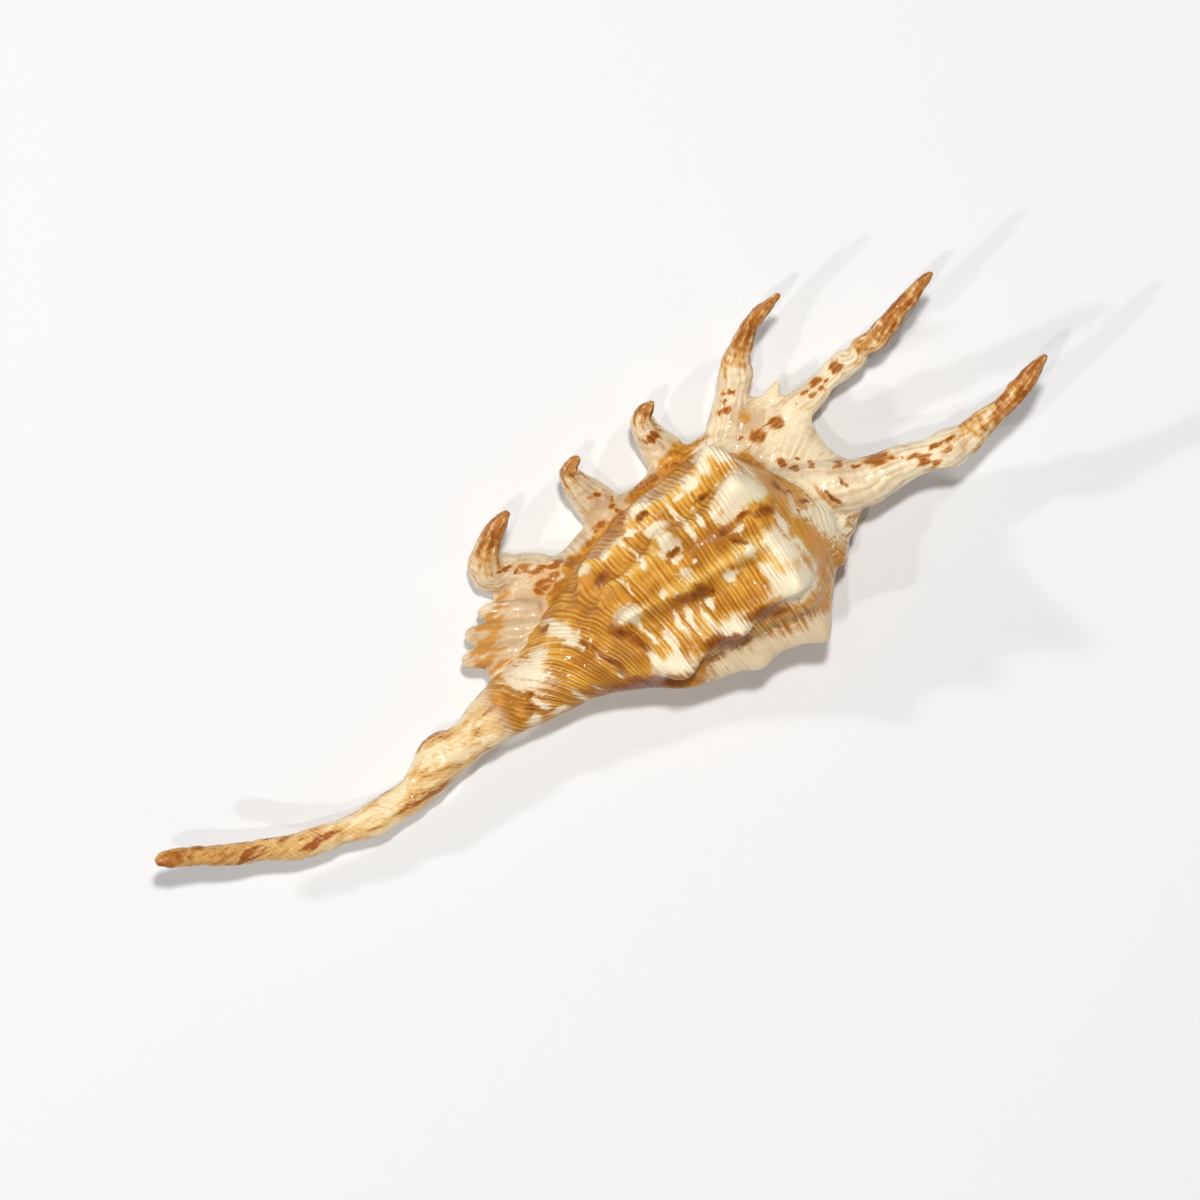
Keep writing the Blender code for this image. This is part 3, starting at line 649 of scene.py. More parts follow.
def last_whorl_radius(x, angle):
    """Radius of the last whorl without its knobs."""
    size, ahead = last_whorl(x, angle)
    distances, radii = np.transpose(WHORL_PROFILE)
    flank = smooth_steps(angle, *FLANK_ANGLES) * smooth_steps(ahead, *FLANK_AHEAD)
    return size * np.interp(ahead, distances, radii) * (1.0 - FLANK_SLIMMING * flank)


def mouth_line(x, fullness):
    """The middle of the hollow at x, from its deep end to the slot: y, z and half height."""
    rows = []
    for angle, share, half in MOUTH_TURN:
        radius = last_whorl_radius(x, angle)
        y = AXIS_Y + share * radius * math.sin(math.radians(angle))
        z = AXIS_Z + share * radius * math.cos(math.radians(angle))
        rows.append((y, z, half * radius * fullness))
    slot_x, slot_y, slot_half = np.transpose(MOUTH_SLOT)
    slot = np.interp(x, slot_x, slot_y)
    half = np.interp(x, slot_x, slot_half) * fullness
    rows += [(slot + shift, z, half * widening) for shift, z, widening in MOUTH_SLOT_PATH]
    return smooth_rows(rows, MOUTH_ROWS)


def one_skin(target, size):
    """Fuses what overlaps in one skin of even faces."""
    made = target.modifiers.new("one skin", "REMESH")
    made.mode = "VOXEL"
    made.voxel_size = size


def softened(target, rounds):
    """Rounds off the joins."""
    made = target.modifiers.new("soft joins", "SMOOTH")
    made.iterations = rounds


def joined(name, pieces):
    """One new object that holds copies of all the pieces."""
    copies = [piece.copy() for piece in pieces]
    for copy in copies:
        copy.data = copy.data.copy()
        bpy.context.scene.collection.objects.link(copy)
    with bpy.context.temp_override(
        active_object=copies[0], selected_editable_objects=copies, selected_objects=copies
    ):
        bpy.ops.object.join()
    copies[0].name = name
    return copies[0]


hollow_middle, hollow_reach = sum(MOUTH_ENDS) / 2.0, (MOUTH_ENDS[1] - MOUTH_ENDS[0]) / 2.0
rings = []
for x in np.linspace(*MOUTH_ENDS, MOUTH_RINGS):
    fullness = (1.0 - abs((x - hollow_middle) / hollow_reach) ** 3) ** 0.5 + 0.04
    line = mouth_line(x, fullness)
    ahead = np.gradient(line[:, :2], axis=0)
    ahead /= np.linalg.norm(ahead, axis=1)[:, None]
    normal = np.column_stack([-ahead[:, 1], ahead[:, 0]]) * line[:, 2:]
    outline = np.vstack([line[:, :2] + normal, (line[:, :2] - normal)[::-1]])
    rings.append(np.column_stack([np.full(len(outline), x), outline]))
mouth = skin("mouth", rings)
faced_out(mouth)
one_skin(mouth, MOUTH_MESH)
as_made(mouth)

grown_parts = joined("grown_parts", [whorls, limbs, lip])
shell = placed("shell_skin", grown_parts.data.copy())
one_skin(shell, FIRST_MESH)
softened(shell, FIRST_SMOOTHING)
opening = shell.modifiers.new("opening", "BOOLEAN")
opening.operation = "DIFFERENCE"
opening.solver = "MANIFOLD"
opening.object = mouth
one_skin(shell, FINE_MESH)
softened(shell, FINE_SMOOTHING)
as_made(shell)


# ---- Cords, growth lines and marks ----
# Fine rounded cords run along the growth of the whole back, crossed by finer growth lines. Nodes
# carry the growth marks over from the parts to the one skin, and press the grooves into it. The
# colours lie along the cords: ochre with white knobs, a cream lip, brown tips and a glossy glaze.

GROWTH = ("cord", "grow")
CARRIED = GROWTH + ("body", "lip", "limb", "tip", "relief", "glaze", "canal")
BLEND_ROUNDS = 4
JOIN_ROUNDS = 3
SEAM_ROUNDS = 5
MOST_TRIANGLES = 194000


def carried_tree():
    """Gives each point of the one skin the marks of the part that it came from."""
    inputs = SHAPE | {"Object": "Parts, Mouth", "Int": "Blend rounds, Join rounds, Seam rounds"}
    tree = Tree("marks carried over", inputs, SHAPE)

    def blurred(value, label):
        return tree.node("GeometryNodeBlurAttribute", value, tree.take(label))

    parts, mouth = tree.shape_of("Parts"), tree.shape_of("Mouth")
    marked = tree.take("Geometry")
    seam = 0.0
    for name in CARRIED:
        value = tree.node("GeometryNodeSampleNearestSurface", parts, tree.read(name))
        if name in GROWTH:
            apart = (value - blurred(value, "Join rounds")).maths("ABSOLUTE")
            seam = apart.step(0.08, 0.4).maths("MAXIMUM", seam)
        else:
            value = blurred(value, "Blend rounds")
        marked = tree.store(marked, name, value)
    near_mouth = tree.node("GeometryNodeProximity", mouth, out=1).step(0.25, 0.7, 1.0, 0.0)
    off_parts = tree.node("GeometryNodeProximity", parts, out=1).step(0.4, 0.9)
    marked = tree.store(marked, "inside", blurred(near_mouth * off_parts, "Blend rounds"))
    marked = tree.store(marked, "seam", blurred(seam, "Seam rounds").step(0.0, 0.35))
    return tree.gives(marked)


def settled_tree(names):
    """Reads marks again from the dense skin, once the faces are fewer."""
    tree = Tree("marks settled", SHAPE | {"Object": "Dense", "Material": "Material"}, SHAPE)
    dense, marked = tree.shape_of("Dense"), tree.take("Geometry")
    for name in names:
        value = tree.node("GeometryNodeSampleNearestSurface", dense, tree.read(name))
        marked = tree.store(marked, name, value)
    return tree.gives_real(marked)


def cords_tree():
    """Presses the grooves between the cords and the growth lines into the skin, never outwards."""
    depths = "Body groove, Lip groove, Limb groove, Growth line, Dents"
    inputs = SHAPE | {"Float": depths, "Material": "Material"}
    tree = Tree("cords and growth lines", inputs, SHAPE)
    cord, grow, body, lip, limb, inside, glaze = (
        tree.read(name) for name in ("cord", "grow", "body", "lip", "limb", "inside", "glaze")
    )
    place = tree.node("GeometryNodeInputPosition")
    wander = tree.node("ShaderNodeTexNoise", place, 0.13, 1.0)
    cord = cord + (wander - 0.5) * 1.6
    by_cord = tree.node("ShaderNodeCombineXYZ", cord * 0.75, grow * 0.05, 3.0)
    strength = tree.node("ShaderNodeTexNoise", by_cord, 1.0, 1.0).step(0.25, 0.65, 0.15, 1.0)
    groove = (0.5 - 0.5 * (cord * (2.0 * math.pi)).maths("COSINE")).maths("POWER", 1.3)
    open_skin = (1.0 - inside) * (1.0 - glaze * 0.9) * (1.0 - tree.read("smooth") * 0.9)
    open_skin = open_skin * (1.0 - tree.read("seam"))
    depth = body * tree.take("Body groove") + lip * tree.take("Lip groove")
    depth = depth + limb * tree.take("Limb groove") * (1.0 - tree.read("canal") * 0.7)
    pressed = groove * depth * strength * open_skin
    lined = tree.node("ShaderNodeCombineXYZ", cord * 0.12, grow * 1.1, 0.0)
    lines = tree.node("ShaderNodeTexNoise", lined, 1.0, 3.0, 0.6).step(0.35, 0.7)
    pressed = pressed + lines * tree.take("Growth line") * open_skin
    dents = tree.node("ShaderNodeTexNoise", place, 0.3, 3.0, 0.55).step(0.3, 0.75)
    pressed = pressed + dents * tree.take("Dents") * (1.0 - inside) * (1.0 + limb * 1.6)
    offset = tree.scaled(tree.node("GeometryNodeInputNormal"), pressed * -1.0)
    carved = tree.node("GeometryNodeSetPosition", tree.take("Geometry"), None, None, offset)
    carved = tree.store(tree.store(carved, "cord", cord), "grain", strength * open_skin)
    return tree.gives_real(carved)


# White knobs and pale streaks, with one painted glint on the orange knob by the lip.
WHITE_AND_HIGHLIGHT_MARKS = (  # x, y, half length, half width and, where it is turned, its turn
    (-33.2, 1.4, 5, 3.1, -40), (-30, 3.2, 2.2, 1.6, 20), (-33.6, -4.2, 2.2, 0.7, -60),
    (-35.6, -6.2, 1.4, 1), (-31, -7, 1.8, 0.5, -20), (-26.6, -6.6, 2.2, 0.5, -60),
    (-22.9, -7.4, 1.4, 0.8, -50), (-23.6, 4.6, 4.4, 1.6, -62), (-19.9, -1.8, 1, 0.5, -60),
    (-17.9, -6.6, 1, 0.6, -60), (-12.2, 2.3, 2.6, 1.2, 5), (-11.2, 0, 2.4, 0.7, -75),
    (-10.2, -3.6, 2.2, 0.6, -80), (-11.9, -7.6, 3, 1, -85), (-9.8, -11.4, 3.6, 2.8),
    (-7.4, -6.4, 3.6, 0.9, -85), (-4.6, -4.2, 2.6, 0.6, -85), (-2.6, -4.4, 2.8, 0.7, -88),
    (0, -5.2, 3, 0.6, -85), (1.8, -3.6, 1.4, 0.7, -80), (3.2, -9.9, 2.4, 2.1),
    (0.2, 12.6, 2.8, 1.1), (0.4, 9.4, 1.7, 1.1), (-1.4, 7.6, 1.3, 0.5, -80), (2, 8, 1.3, 0.5, 80),
    (0.6, 5.9, 1.6, 0.7), (0.6, 3.4, 1.3, 0.8), (3.1, 4.3, 0.8, 0.5), (-4.6, 2, 0.7, 0.9),
    (-6.6, 13.4, 1.2, 0.5, -80), (-4.2, 14.2, 2.6, 0.4), (-1, 17.4, 2.4, 0.8, 10),
    (-10.4, 13, 0.9, 0.6), (9.2, 16.3, 1.4, 1), (6.6, 15.4, 1.2, 0.6), (8.9, 17.9, 0.7, 0.5),
    (16.4, 11.6, 4.6, 2.9, 20), (12.4, 8, 2.6, 1.1, 10), (18.4, 9.2, 1.8, 1.4),
    (12.4, 5.4, 1.6, 0.8), (12.3, 0.8, 0.9, 0.8), (15.4, 20.6, 2.8, 1.6),
    (12.9, 18.6, 2.4, 0.8, -80), (17.3, 18.4, 1.8, 1.2), (17.6, -1, 3.6, 2, -75),
    (19.8, 2, 2.4, 0.9, 90), (16.4, -8.6, 4.4, 2.9), (13.4, -4.2, 2.8, 0.9, -80),
    (20.6, -3, 2.4, 0.6, -80), (23.4, 4.6, 2.6, 0.7, 80), (24.6, 1.6, 1.4, 0.9),
    (16.6, -17.8, 5, 3.8, -8), (5, -15.8, 11, 3, -8), (-1, -14.4, 3.6, 1.6, -8),
    # On this line, the row at -14.7, 12.6 is a painted glint.
    (6.4, -16.4, 2, 1.6), (28.6, -0.6, 4.2, 5.4), (-14.7, 12.6, 1.1, 0.6), (7.4, -1.4, 1.8, 1),
    (5, 9, 3, 0.5, -86), (7.6, 10.4, 2.4, 0.4, -88), (4.2, 13.4, 2, 0.5, -85),
    (9.8, 9, 1.8, 0.4, -85), (-5.2, 9.4, 2.6, 0.35, -84), (-9.6, 6, 2, 0.3, -80),
)
UMBER_AND_SHADE_MARKS = (  # duller, browner skin, and painted shade on the lower flank and the lower front edge
    (-83, -4.9, 9, 1.5, -17), (-99, 2, 9, 2.4, -27), (-62, -7.6, 4.5, 1.2, 8),
    (-54, -6.4, 2.5, 1, 20), (-39.4, -2.4, 4.6, 4.6), (5, -15.8, 11, 3.2, -8),
    (16.6, -17.6, 5, 4.2, -8), (-27, 12.4, 9, 4, 22), (-34, 9, 5, 5), (-10, 19.4, 8, 1.6, 6),
    (24, 21.4, 3, 2.4), (-16.8, 4, 7.5, 2.2, -78), (8, -7.4, 3.4, 2.6), (-3.4, -9, 2.6, 2.4),
    (-3.4, -1, 3.4, 1.4), (-7.6, 0.6, 1.8, 1.4), (-14, 10.4, 2.4, 2.4), (-21, -4.5, 4.6, 1, -62),
    (-28.4, -3.4, 3, 2, -20), (-28, 5.6, 4, 0.8, 35), (2.6, 10.6, 1.2, 4), (9.6, 5.8, 2.2, 1.6),
    (5, 20.6, 8, 1.4, 8), (-12, 15.6, 7, 1.6, 8), (-14, -11, 7, 1.6, -22), (21.4, 9, 5.5, 1.2, 96),
    (-24, -1.6, 2.6, 1.4, -60),
)
WHORL_TINTS = (  # where the whorl's colours run on over the lip
    (11, 22.4, 5.4, 1.9, 12), (3, 20, 5, 1.4, 4), (-15, 14.2, 3.4, 2), (-20.4, 11.6, 3.4, 1.6, 28),
    (-6, 16.6, 5, 1.4, 5), (14.6, 23.8, 2, 1.4), (21, 14.2, 3.2, 0.9, 110), (-2, 17.2, 7, 1.5, 8),
    (8.6, 19.8, 5, 2, 14), (-10.6, 15.4, 5, 1.5, 10), (14, 21.6, 3, 2.4, 20),
    (-16.6, 12.6, 3, 1.6, 34),
)
# Brown blotches, with painted shade beneath the knobs and along the lower front edge.
BROWN_AND_SHADE_MARKS = (
    (-12.8, 9.6, 1.5, 0.9), (-14.8, -0.4, 1.6, 0.9, -45), (-13, -3, 2.6, 0.7, -65),
    (-26, 6.9, 0.7, 0.3), (-21.3, 1, 0.9, 0.4, -60), (-20, -0.6, 1, 0.3, -70),
    (-18.6, -4, 2.8, 0.6, -65), (-34.4, -2, 0.7, 0.5), (-35.3, -4, 0.9, 0.5, -50),
    (0.9, -1.2, 2, 1, -10), (-1.8, -0.6, 1.4, 0.6), (3, -1.7, 0.6, 0.5), (0.2, 7.5, 1.3, 0.5),
    (-1.1, 15.8, 1.2, 0.5), (-1.2, -10.2, 1.8, 0.9, -10), (1.2, -11.2, 2.4, 0.8, -15),
    (3.8, -12.3, 1.2, 0.6, -30), (9, -9.8, 2.4, 0.9, -10), (11.6, -11.2, 1.6, 0.6, -15),
    (10.2, 13.3, 1.3, 0.35, 20), (14.4, 6.7, 1.3, 0.35, 5), (18, 5.6, 1.5, 0.8, -20),
    (10.4, 6.2, 1.4, 0.7), (11.4, 3.4, 1.2, 0.5, -50), (22.4, 8.6, 0.4, 0.9),
    (24.2, 6.4, 0.8, 0.3, -20), (25.4, 3.6, 0.7, 0.3, -20), (30.2, 1.9, 1.6, 0.3, -75),
    (33.2, 3, 1.1, 0.3, -70), (-16, -10.6, 8, 1.3, -24),
)
OCHRE_MARKS = (
    (-36.6, 10.4, 4.6, 0.9, 20), (-34.6, 13.4, 3.6, 0.9, 22), (-38.6, 7, 3.4, 0.9, 10),
    (-36.8, 9.2, 3.4, 0.6, 18), (24, 22, 1.6, 0.9, 30), (20.4, -6, 2.2, 0.6, 80),
    (11.4, -9.4, 2.2, 0.8, 10), (19, -13.6, 2, 1, -30), (21.6, 10.6, 5, 1.2, 95),
    (23.2, -3.4, 3.8, 1.5, 90), (24.2, 6, 3.4, 0.9, 100), (24.2, -5.8, 2.2, 1.1, 60),
    (21.9, -8.2, 1.9, 0.6, 60), (29, 2.6, 3, 0.6, 105), (-33.5, 12.6, 3, 0.3, 18),
    (-36.4, 8.2, 2.4, 0.25, 15), (-29.6, 16, 1.6, 0.6, 10), (-37, 5.2, 3, 0.5, 5),
    (21.6, 14, 2.4, 0.5, 110), (-15.6, 10.8, 1.8, 1.3), (-37.2, -3.6, 1.8, 1.2, -60),
    (-40.4, 0.4, 1.6, 0.9, -60), (-13.2, 6.6, 1.6, 1.6),
)
FLECKS = (
    (24.6, 17.8, 1.3, 1.2), (28.6, 18.3, 1.2, 1.1), (21.6, 19.2, 0.8, 0.3, -20),
    (25.8, 11.6, 0.6, 0.8), (27, 9.7, 0.9, 0.4, -30), (28.5, 10.7, 0.7, 0.3, -40),
    (30.3, 8.5, 0.5, 0.4), (34.2, 6.3, 1, 0.5, 10), (36.7, 4.1, 1, 0.4, -10),
    (40.5, 3.8, 2, 1.2, -20), (43, 2.4, 0.7, 0.4), (36.6, 19.5, 0.8, 0.4), (35.8, 20.5, 0.6, 0.4),
    (38.4, 21.3, 1, 0.7), (38.7, 19.6, 0.6, 0.5), (40, 20.6, 0.5, 0.4), (42.7, 21.6, 1.1, 0.9, 90),
    (33.3, 19.7, 0.5, 0.2), (20.8, 24.7, 0.8, 0.4, 10), (22.2, 24.6, 0.6, 0.4, 30),
    (22.5, 26.3, 0.4, 0.3), (24.5, 27, 0.5, 0.5), (23, 27.6, 0.5, 0.3), (8, 27.2, 1.6, 0.7),
    (-24, 18.5, 1.2, 0.6, -15), (-27, 19.9, 1.8, 0.4), (-25.6, 18, 0.4, 0.3),
    (-22, 16.6, 1.6, 0.6, -5), (-18.6, 16.2, 1.6, 0.5, -5), (-22.8, 13.6, 1.5, 0.9, 20),
    (-20.2, 14.4, 1.3, 0.8, 20), (-8, 18.3, 1.3, 0.6), (-5, 20.2, 1, 0.4, 20),
    (-4.2, 18.4, 1.2, 0.6, -50), (-6, 23.4, 1.3, 0.4), (-4, 21.2, 0.4, 0.4),
    (8.6, 21, 1.2, 0.6, 20), (3, 20.4, 2.4, 0.4, 5), (48.6, 22.6, 1, 1.4, 20),
    (46.8, 1, 1.5, 0.5, -12), (48, -0.6, 1.1, 0.8), (50.8, 0.4, 1.5, 0.4, 8),
    (49.4, -2.2, 0.9, 0.5), (53.4, 0.2, 1.2, 0.5, 10), (52.2, -1.4, 0.8, 0.5),
    (41.8, 3.4, 0.8, 0.4), (44.4, 1.8, 0.7, 0.3),
)


SMOOTH_SPOTS = (  # worn places, where the cords are faint
    (17.4, 11, 3.6, 2.6, 15), (16.8, -8.6, 4.6, 3), (-9.8, -11.4, 4.4, 3.4),
    (-33.2, 1.4, 5, 3.4, -40), (3.2, -10.4, 1.8, 1.6), (12.3, 0.8, 1, 0.9), (17.5, -19, 3, 2.4),
    (3.6, -17, 2, 1.6), (21, -3, 5, 11), (14.6, -18, 5, 3.6),
)


EDGE_FADE = 0.693  # a mark is half as strong at its edge as in its middle


def points_of(target, kind="co"):
    """The places or the normals of a mesh's points, as rows."""
    rows = np.empty(len(target.data.vertices) * 3, np.float32)
    target.data.vertices.foreach_get(kind, rows)
    return rows.reshape(-1, 3).astype(float)


def patches(places, rows):
    """How strongly each place is marked by soft-edged patches."""
    marked = np.zeros(len(places))
    for x, y, half_length, half_width, *turned in rows:
        turn = math.radians(sum(turned))
        c, s = math.cos(turn), math.sin(turn)
        over, up = places[:, 0] - x, places[:, 1] - y
        along, across = (over * c + up * s) / half_length, (up * c - over * s) / half_width
        marked = np.maximum(marked, np.exp(-EDGE_FADE * (along**2 + across**2)))
    return marked


glossy_shell = bpy.data.materials.new("glossy_shell")
glossy_shell.use_nodes = True
shades = glossy_shell.node_tree
surface = shades.nodes["Principled BSDF"]


def shell_mark(name):
    return placed_node(shades, "ShaderNodeAttribute", out=2, attribute_name=name)


def noise(vector, scale, detail, roughness):
    return placed_node(shades, "ShaderNodeTexNoise", vector, scale, detail, roughness)


def growth_noise(cord_scale, grow_scale, layer, detail, roughness=0.5):
    """Noise along the cords, with plain lengthwise lines where two parts meet."""
    place = placed_node(
        shades, "ShaderNodeCombineXYZ", shell_mark("cord") * cord_scale,
        shell_mark("grow") * grow_scale, layer,
    )
    along_cords = noise(place, 1.0, detail, roughness)
    return (along_cords - 0.5) * off_seam + (join_lines - 0.5) * (1.0 - off_seam) + 0.5


def mixed(amount, first, second):
    return placed_node(shades, "ShaderNodeMix", amount, first, second, data_type="RGBA")


OCHRE_DEEP = (0.36, 0.125, 0.008, 1.0)
OCHRE = (0.54, 0.22, 0.018, 1.0)
GOLD = (0.7, 0.35, 0.04, 1.0)
PALE_GOLD = (0.84, 0.56, 0.19, 1.0)
CREAM = (0.88, 0.71, 0.43, 1.0)
WHITE = (0.93, 0.82, 0.59, 1.0)
LIP_CREAM = (0.89, 0.76, 0.52, 1.0)
LIP_SHADE = (0.62, 0.44, 0.26, 1.0)
RED_BROWN = (0.3, 0.08, 0.005, 1.0)
DARK_BROWN = (0.15, 0.03, 0.002, 1.0)
FLECK_BROWN = (0.32, 0.095, 0.01, 1.0)
TIP_BROWN = (0.48, 0.18, 0.035, 1.0)
TIP_GOLD = (0.74, 0.42, 0.13, 1.0)
ORANGE = (0.66, 0.27, 0.04, 1.0)
GLAZE = (0.78, 0.5, 0.28, 1.0)
MOUTH_BROWN = (0.5, 0.2, 0.09, 1.0)
CANAL_BROWN = (0.34, 0.095, 0.016, 1.0)
ORANGE_CREAM = (0.76, 0.46, 0.17, 1.0)
GLOSS = {
    "Coat Weight": 0.34, "Coat Roughness": 0.06, "Coat IOR": 1.36, "Specular IOR Level": 0.14,
}
BUMP_HEIGHT = 0.00014

cord, body, limb, canal, height, umber, grain, tip = (
    shell_mark(name)
    for name in ("cord", "body", "limb", "canal", "relief", "umber", "grain", "tip")
)
place = placed_node(shades, "ShaderNodeTexCoord", out=3)
off_seam = 1.0 - shell_mark("seam")
turned = placed_node(
    shades, "ShaderNodeMapping", place, None, (0.0, 0.0, math.radians(18.0)), (0.16, 1.0, 0.6)
)
join_lines = noise(turned, 1300.0, 3.0, 0.6)
streak = growth_noise(0.9, 0.05, 0.0, 2.0)
dash = growth_noise(0.7, 0.25, 4.0, 2.0)
blotch = noise(place, 150.0, 3.0, 0.55)
ridge = 0.5 + 0.5 * (cord * (2.0 * math.pi)).maths("COSINE") * off_seam
ragged = (streak - 0.5) * 1.5 + (dash - 0.5) * 0.7 + (blotch - 0.5) * 0.5

# The whorls: ochre to gold along the cords, with white knobs and orange stains, painted shade in
# the hollows between the knobs and painted light on their tops.
# Painted shade: this darkens the grooves between the cords and lightens their crests, wherever it
# is used below.
groove_shade = (ridge - 0.5) * grain
tone = streak * 1.1 + dash * 0.3 + blotch * 1.2 + groove_shade * 0.38 - 0.74
# Painted shade and light: the tone darkens in the hollows and lightens on the knobs, by their
# relief.
tone = tone - umber * 0.22 + height.step(-0.9, 2.4, -0.19, 0.15)
whorl_colour = mixed(tone.step(0.08, 0.34), OCHRE_DEEP, OCHRE)
whorl_colour = mixed(tone.step(0.3, 0.55), whorl_colour, GOLD)
whorl_colour = mixed(tone.step(0.52, 0.85), whorl_colour, PALE_GOLD)
speckle = growth_noise(0.55, 0.8, 20.0, 3.0, 0.65)
white = shell_mark("white") * 1.1 + ragged * 0.8 + speckle.step(0.5, 0.7) * 0.4
# Painted light: the knob tops turn whiter and the hollows less white, by their relief.
white = (white + height.step(-0.9, 2.0, -0.2, 0.12)).step(0.2, 0.85)
pale = dash * 0.6 + blotch * 0.5 + groove_shade * 0.3
# Where the umber marks lie, the pale parts turn tan: a duller skin, and painted shade on the lower
# flank.
pale = mixed(umber * 0.7, mixed(pale.step(0.15, 0.5), CREAM, WHITE), LIP_SHADE)
whorl_colour = mixed(white, whorl_colour, pale)
ochre = (shell_mark("ochre") * 1.1 + ragged * 1.1).step(0.3, 0.85)
whorl_colour = mixed(ochre * 0.8, whorl_colour, ORANGE)

# The lip and the fingers: cream with hair-fine lines.
hair = growth_noise(3.0, 0.12, 7.0, 2.0, 0.6)
rings = growth_noise(0.25, 1.7, 5.0, 3.0, 0.6)
lip_lines = streak * 0.4 + hair * 0.55 + rings * 0.25 + blotch * 0.8 + groove_shade * 0.15
lip_lines = lip_lines - umber * 0.3
lip_colour = mixed(lip_lines.step(0.72, 1.1), LIP_SHADE, LIP_CREAM)
lip_colour = mixed(ochre * 0.9, lip_colour, OCHRE)

# The canal: brown to cream in lengthwise streaks.
lengthwise = placed_node(
    shades, "ShaderNodeVectorMath", place, (0.22, 1.0, 1.0), operation="MULTIPLY"
)
long_streak = noise(lengthwise, 420.0, 4.0, 0.6)
canal_tone = long_streak * 2.0 + (blotch - 0.5) * 0.5 + groove_shade * 0.08 - 0.44
canal_tone = canal_tone - umber * 0.24
canal_colour = mixed(canal_tone.step(0.22, 0.46), CANAL_BROWN, ORANGE_CREAM)
canal_colour = mixed(canal_tone.step(0.46, 0.68), canal_colour, CREAM)
limb_colour = mixed(canal, lip_colour, canal_colour)

# All of them together, then the flecks, the brown tips, the brown marks with their painted shade
# beneath the knobs and along the lower front edge, and the glaze.
run_on = (shell_mark("tint") + ragged * 0.2).step(0.35, 0.6)
whorl_zone = body.step(0.3, 0.7).maths("MAXIMUM", run_on)
colour = mixed(whorl_zone, lip_colour, whorl_colour)
colour = mixed(limb.step(0.35, 0.65) * (1.0 - whorl_zone), colour, limb_colour)
line_cuts = (ridge - 0.6) * grain + (join_lines - 0.5) * (1.0 - off_seam) * 2.0
flecks = shell_mark("fleck") * 1.15 + ragged * 0.2 + line_cuts * 0.55
colour = mixed(flecks.step(0.2, 0.5) * 0.8, colour, ORANGE)
fleck_hairs = hair.step(0.36, 0.52, 0.35, 1.0)
colour = mixed(flecks.step(0.4, 0.75) * fleck_hairs, colour, FLECK_BROWN)
mottle = growth_noise(0.9, 0.2, 12.0, 3.0, 0.6) * 0.65
mottle = mottle + growth_noise(0.5, 0.9, 16.0, 2.0) * 0.35
mottle = mottle + (long_streak - mottle) * canal
tips = (tip * 0.9 + mottle * 2.6 - 1.7) * tip.step(0.02, 0.2)
tip_brown = mixed((dash * 0.6 + hair * 0.4).step(0.42, 0.6), RED_BROWN, TIP_BROWN)
colour = mixed(tips.step(-0.05, 0.25) * 0.9, colour, TIP_GOLD)
colour = mixed(tips.step(0.1, 0.6), colour, tip_brown)
brown = shell_mark("brown") * 1.15 + ragged * 0.75 - 0.02
colour = mixed(brown.step(0.1, 0.5) * 0.9, colour, OCHRE_DEEP)
dark_brown = mixed(dash.step(0.35, 0.6), DARK_BROWN, RED_BROWN)
colour = mixed(brown.step(0.35, 1.0), colour, dark_brown)
glazed = mixed(blotch.step(0.35, 0.65), GLAZE, CREAM)
colour = mixed(shell_mark("glaze") * 0.9, colour, glazed)
mouth_colour = mixed(blotch.step(0.3, 0.7), MOUTH_BROWN, GLAZE)
colour = mixed(shell_mark("inside"), colour, mouth_colour)
shades.links.new(colour.socket, surface.inputs["Base Color"])

# The low relief of the cords and the gloss over them.
fine = growth_noise(0.8, 1.2, 9.0, 2.0)
bump = shades.nodes.new("ShaderNodeBump")
bump.inputs["Strength"].default_value = 1.0
bump.inputs["Distance"].default_value = BUMP_HEIGHT
bumps = ridge * (grain * (body * 0.8 + 0.3)) + hair * 0.3 + fine * 0.15
shades.links.new(bumps.socket, bump.inputs["Height"])
shades.links.new(bump.outputs["Normal"], surface.inputs["Normal"])
shades.links.new((0.24 + blotch * 0.16).socket, surface.inputs["Roughness"])
for label, value in GLOSS.items():
    surface.inputs[label].default_value = value

with_nodes(
    shell, carried_tree(), parts=grown_parts, mouth=mouth, blend_rounds=BLEND_ROUNDS,
    join_rounds=JOIN_ROUNDS, seam_rounds=SEAM_ROUNDS,
)
as_made(shell)
mark(shell, smooth=patches(points_of(shell), SMOOTH_SPOTS))
with_nodes(
    shell, cords_tree(), body_groove=0.14, lip_groove=0.06, limb_groove=0.06, growth_line=0.008,
    dents=0.16, material=glossy_shell,
)
as_made(shell)
dense = joined("dense", [shell])
thinned = shell.modifiers.new("fewer faces", "DECIMATE")
thinned.ratio = min(1.0, MOST_TRIANGLES / (2.0 * len(shell.data.polygons)))
as_made(shell)
settled = settled_tree(CARRIED + ("inside", "seam", "grain"))
with_nodes(shell, settled, dense=dense, material=glossy_shell)
as_made(shell)


# ---- Setting the shell down ----
# The finished shell goes from its growth frame to the frame of the CAD shell, in metres, and stands
# for the whole CAD solid. Its points are held inside that solid's box, which wears the spots that
# it rests on flat, as they are on the solid.

FRAME_SHIFT = (15.9586, -9.2004, -0.25)
RAGGED_EDGES = ((0.45, 0.55), (1.3, 0.3))  # how often an edge of a mark bends, and how far
MILLIMETRE = 0.001

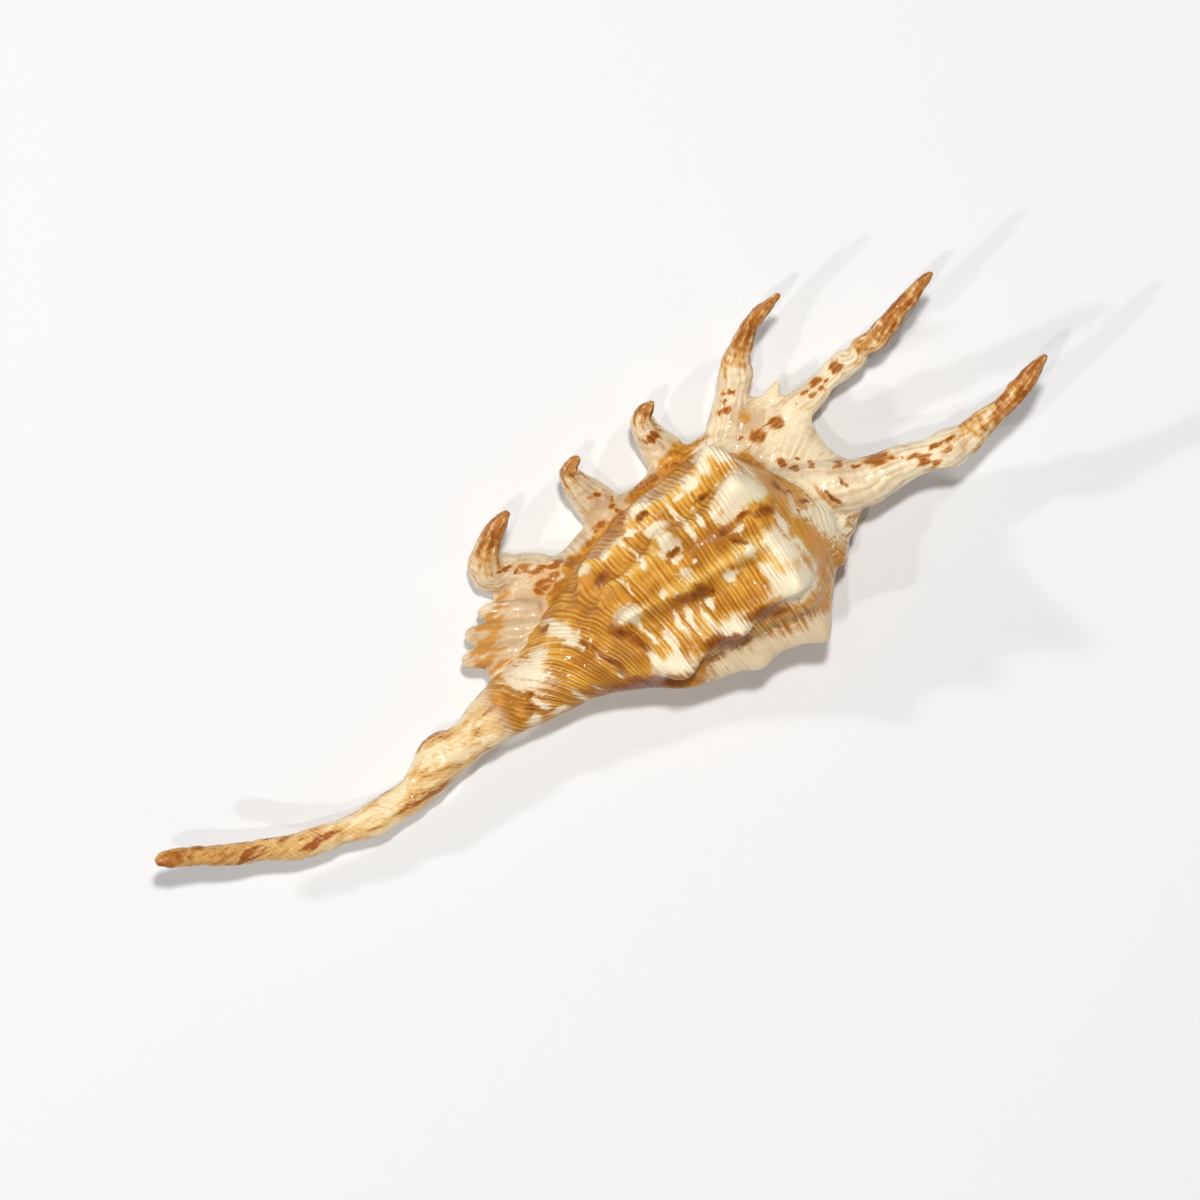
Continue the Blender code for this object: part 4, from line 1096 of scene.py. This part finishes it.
seed_set(11)
places = points_of(shell)
up = smooth_steps(points_of(shell, "normal")[:, 2], -0.35, 0.05)  # no marks beneath
bent = places.copy()
for often, far in RAGGED_EDGES:
    bent += np.array([noise_vector(place * often) for place in map(Vector, places)]) * far
mark(
    shell, white=patches(bent, WHITE_AND_HIGHLIGHT_MARKS) * up, brown=patches(bent, BROWN_AND_SHADE_MARKS) * up,
    ochre=patches(bent, OCHRE_MARKS) * up, fleck=patches(bent, FLECKS) * up,
    umber=patches(bent, UMBER_AND_SHADE_MARKS) * up, tint=patches(bent, WHORL_TINTS) * up,
)
places = (places + FRAME_SHIFT) * MILLIMETRE
low, high = (np.array(corner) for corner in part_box("shell"))
places = np.clip(places, low, high)
shell.data.vertices.foreach_set("co", places.ravel())
shell.data.shade_smooth()
shell.data.update()
for part in (dense, grown_parts, mouth, whorls, limbs, lip):
    bpy.data.objects.remove(part)
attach(shell, "root")
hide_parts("shell")


# ---- Floor, light and camera ----
# A plain pale studio floor with one key lamp overhead, a lamp from the side, a weak fill and two
# small lamps that make glints in the glossy skin. The camera looks straight down.

floor_mesh = bpy.data.meshes.new("floor")
floor_mesh.from_pydata([(-3, -3, 0), (3, -3, 0), (3, 3, 0), (-3, 3, 0)], [], [(0, 1, 2, 3)])
floor = placed("floor", floor_mesh)
pale_floor = bpy.data.materials.new("pale_floor")
pale_floor.use_nodes = True
paint = pale_floor.node_tree.nodes["Principled BSDF"].inputs
paint["Base Color"].default_value = (0.8, 0.8, 0.8, 1.0)
paint["Roughness"].default_value = 0.8
floor_mesh.materials.append(pale_floor)

world = bpy.data.worlds.new("studio")
bpy.context.scene.world = world
world.use_nodes = True
sky = world.node_tree.nodes["Background"].inputs
sky["Color"].default_value = (1.0, 0.98, 0.95, 1.0)
sky["Strength"].default_value = 0.13

LAMPS = (  # name, place, size, power
    ("key", (0.16, 0.2, 1.3), 0.08, 10.9),
    ("side", (-0.85, 0.75, 0.8), 0.08, 4.4),
    ("fill", (0.5, -0.9, 1.0), 0.8, 1.4),
    ("spark", (-0.3, -0.1, 1.3), 0.035, 2.4),
    ("front", (-0.85, -0.05, 0.95), 0.04, 2.2),
)
for name, place, size, power in LAMPS:
    lamp = bpy.data.lights.new(name, "AREA")
    lamp.size = size
    lamp.energy = power
    made = placed(name, lamp)
    made.location = place
    made.rotation_euler = (-made.location).to_track_quat("-Z", "Y").to_euler()

VIEW_CENTRE = (0.00103, -0.00266, 0.012)
VIEW_WIDTH = 0.216
VIEW_TURN = -30.0
camera_data = bpy.data.cameras.new("camera")
camera_data.lens = 200.0
camera_data.sensor_width = 36.0
camera = placed("camera", camera_data)
away = VIEW_WIDTH * camera_data.lens / camera_data.sensor_width
camera.location = (VIEW_CENTRE[0], VIEW_CENTRE[1], VIEW_CENTRE[2] + away)
camera.rotation_euler = (0.0, 0.0, math.radians(VIEW_TURN))
bpy.context.scene.camera = camera
bpy.context.scene.view_settings.view_transform = "Standard"
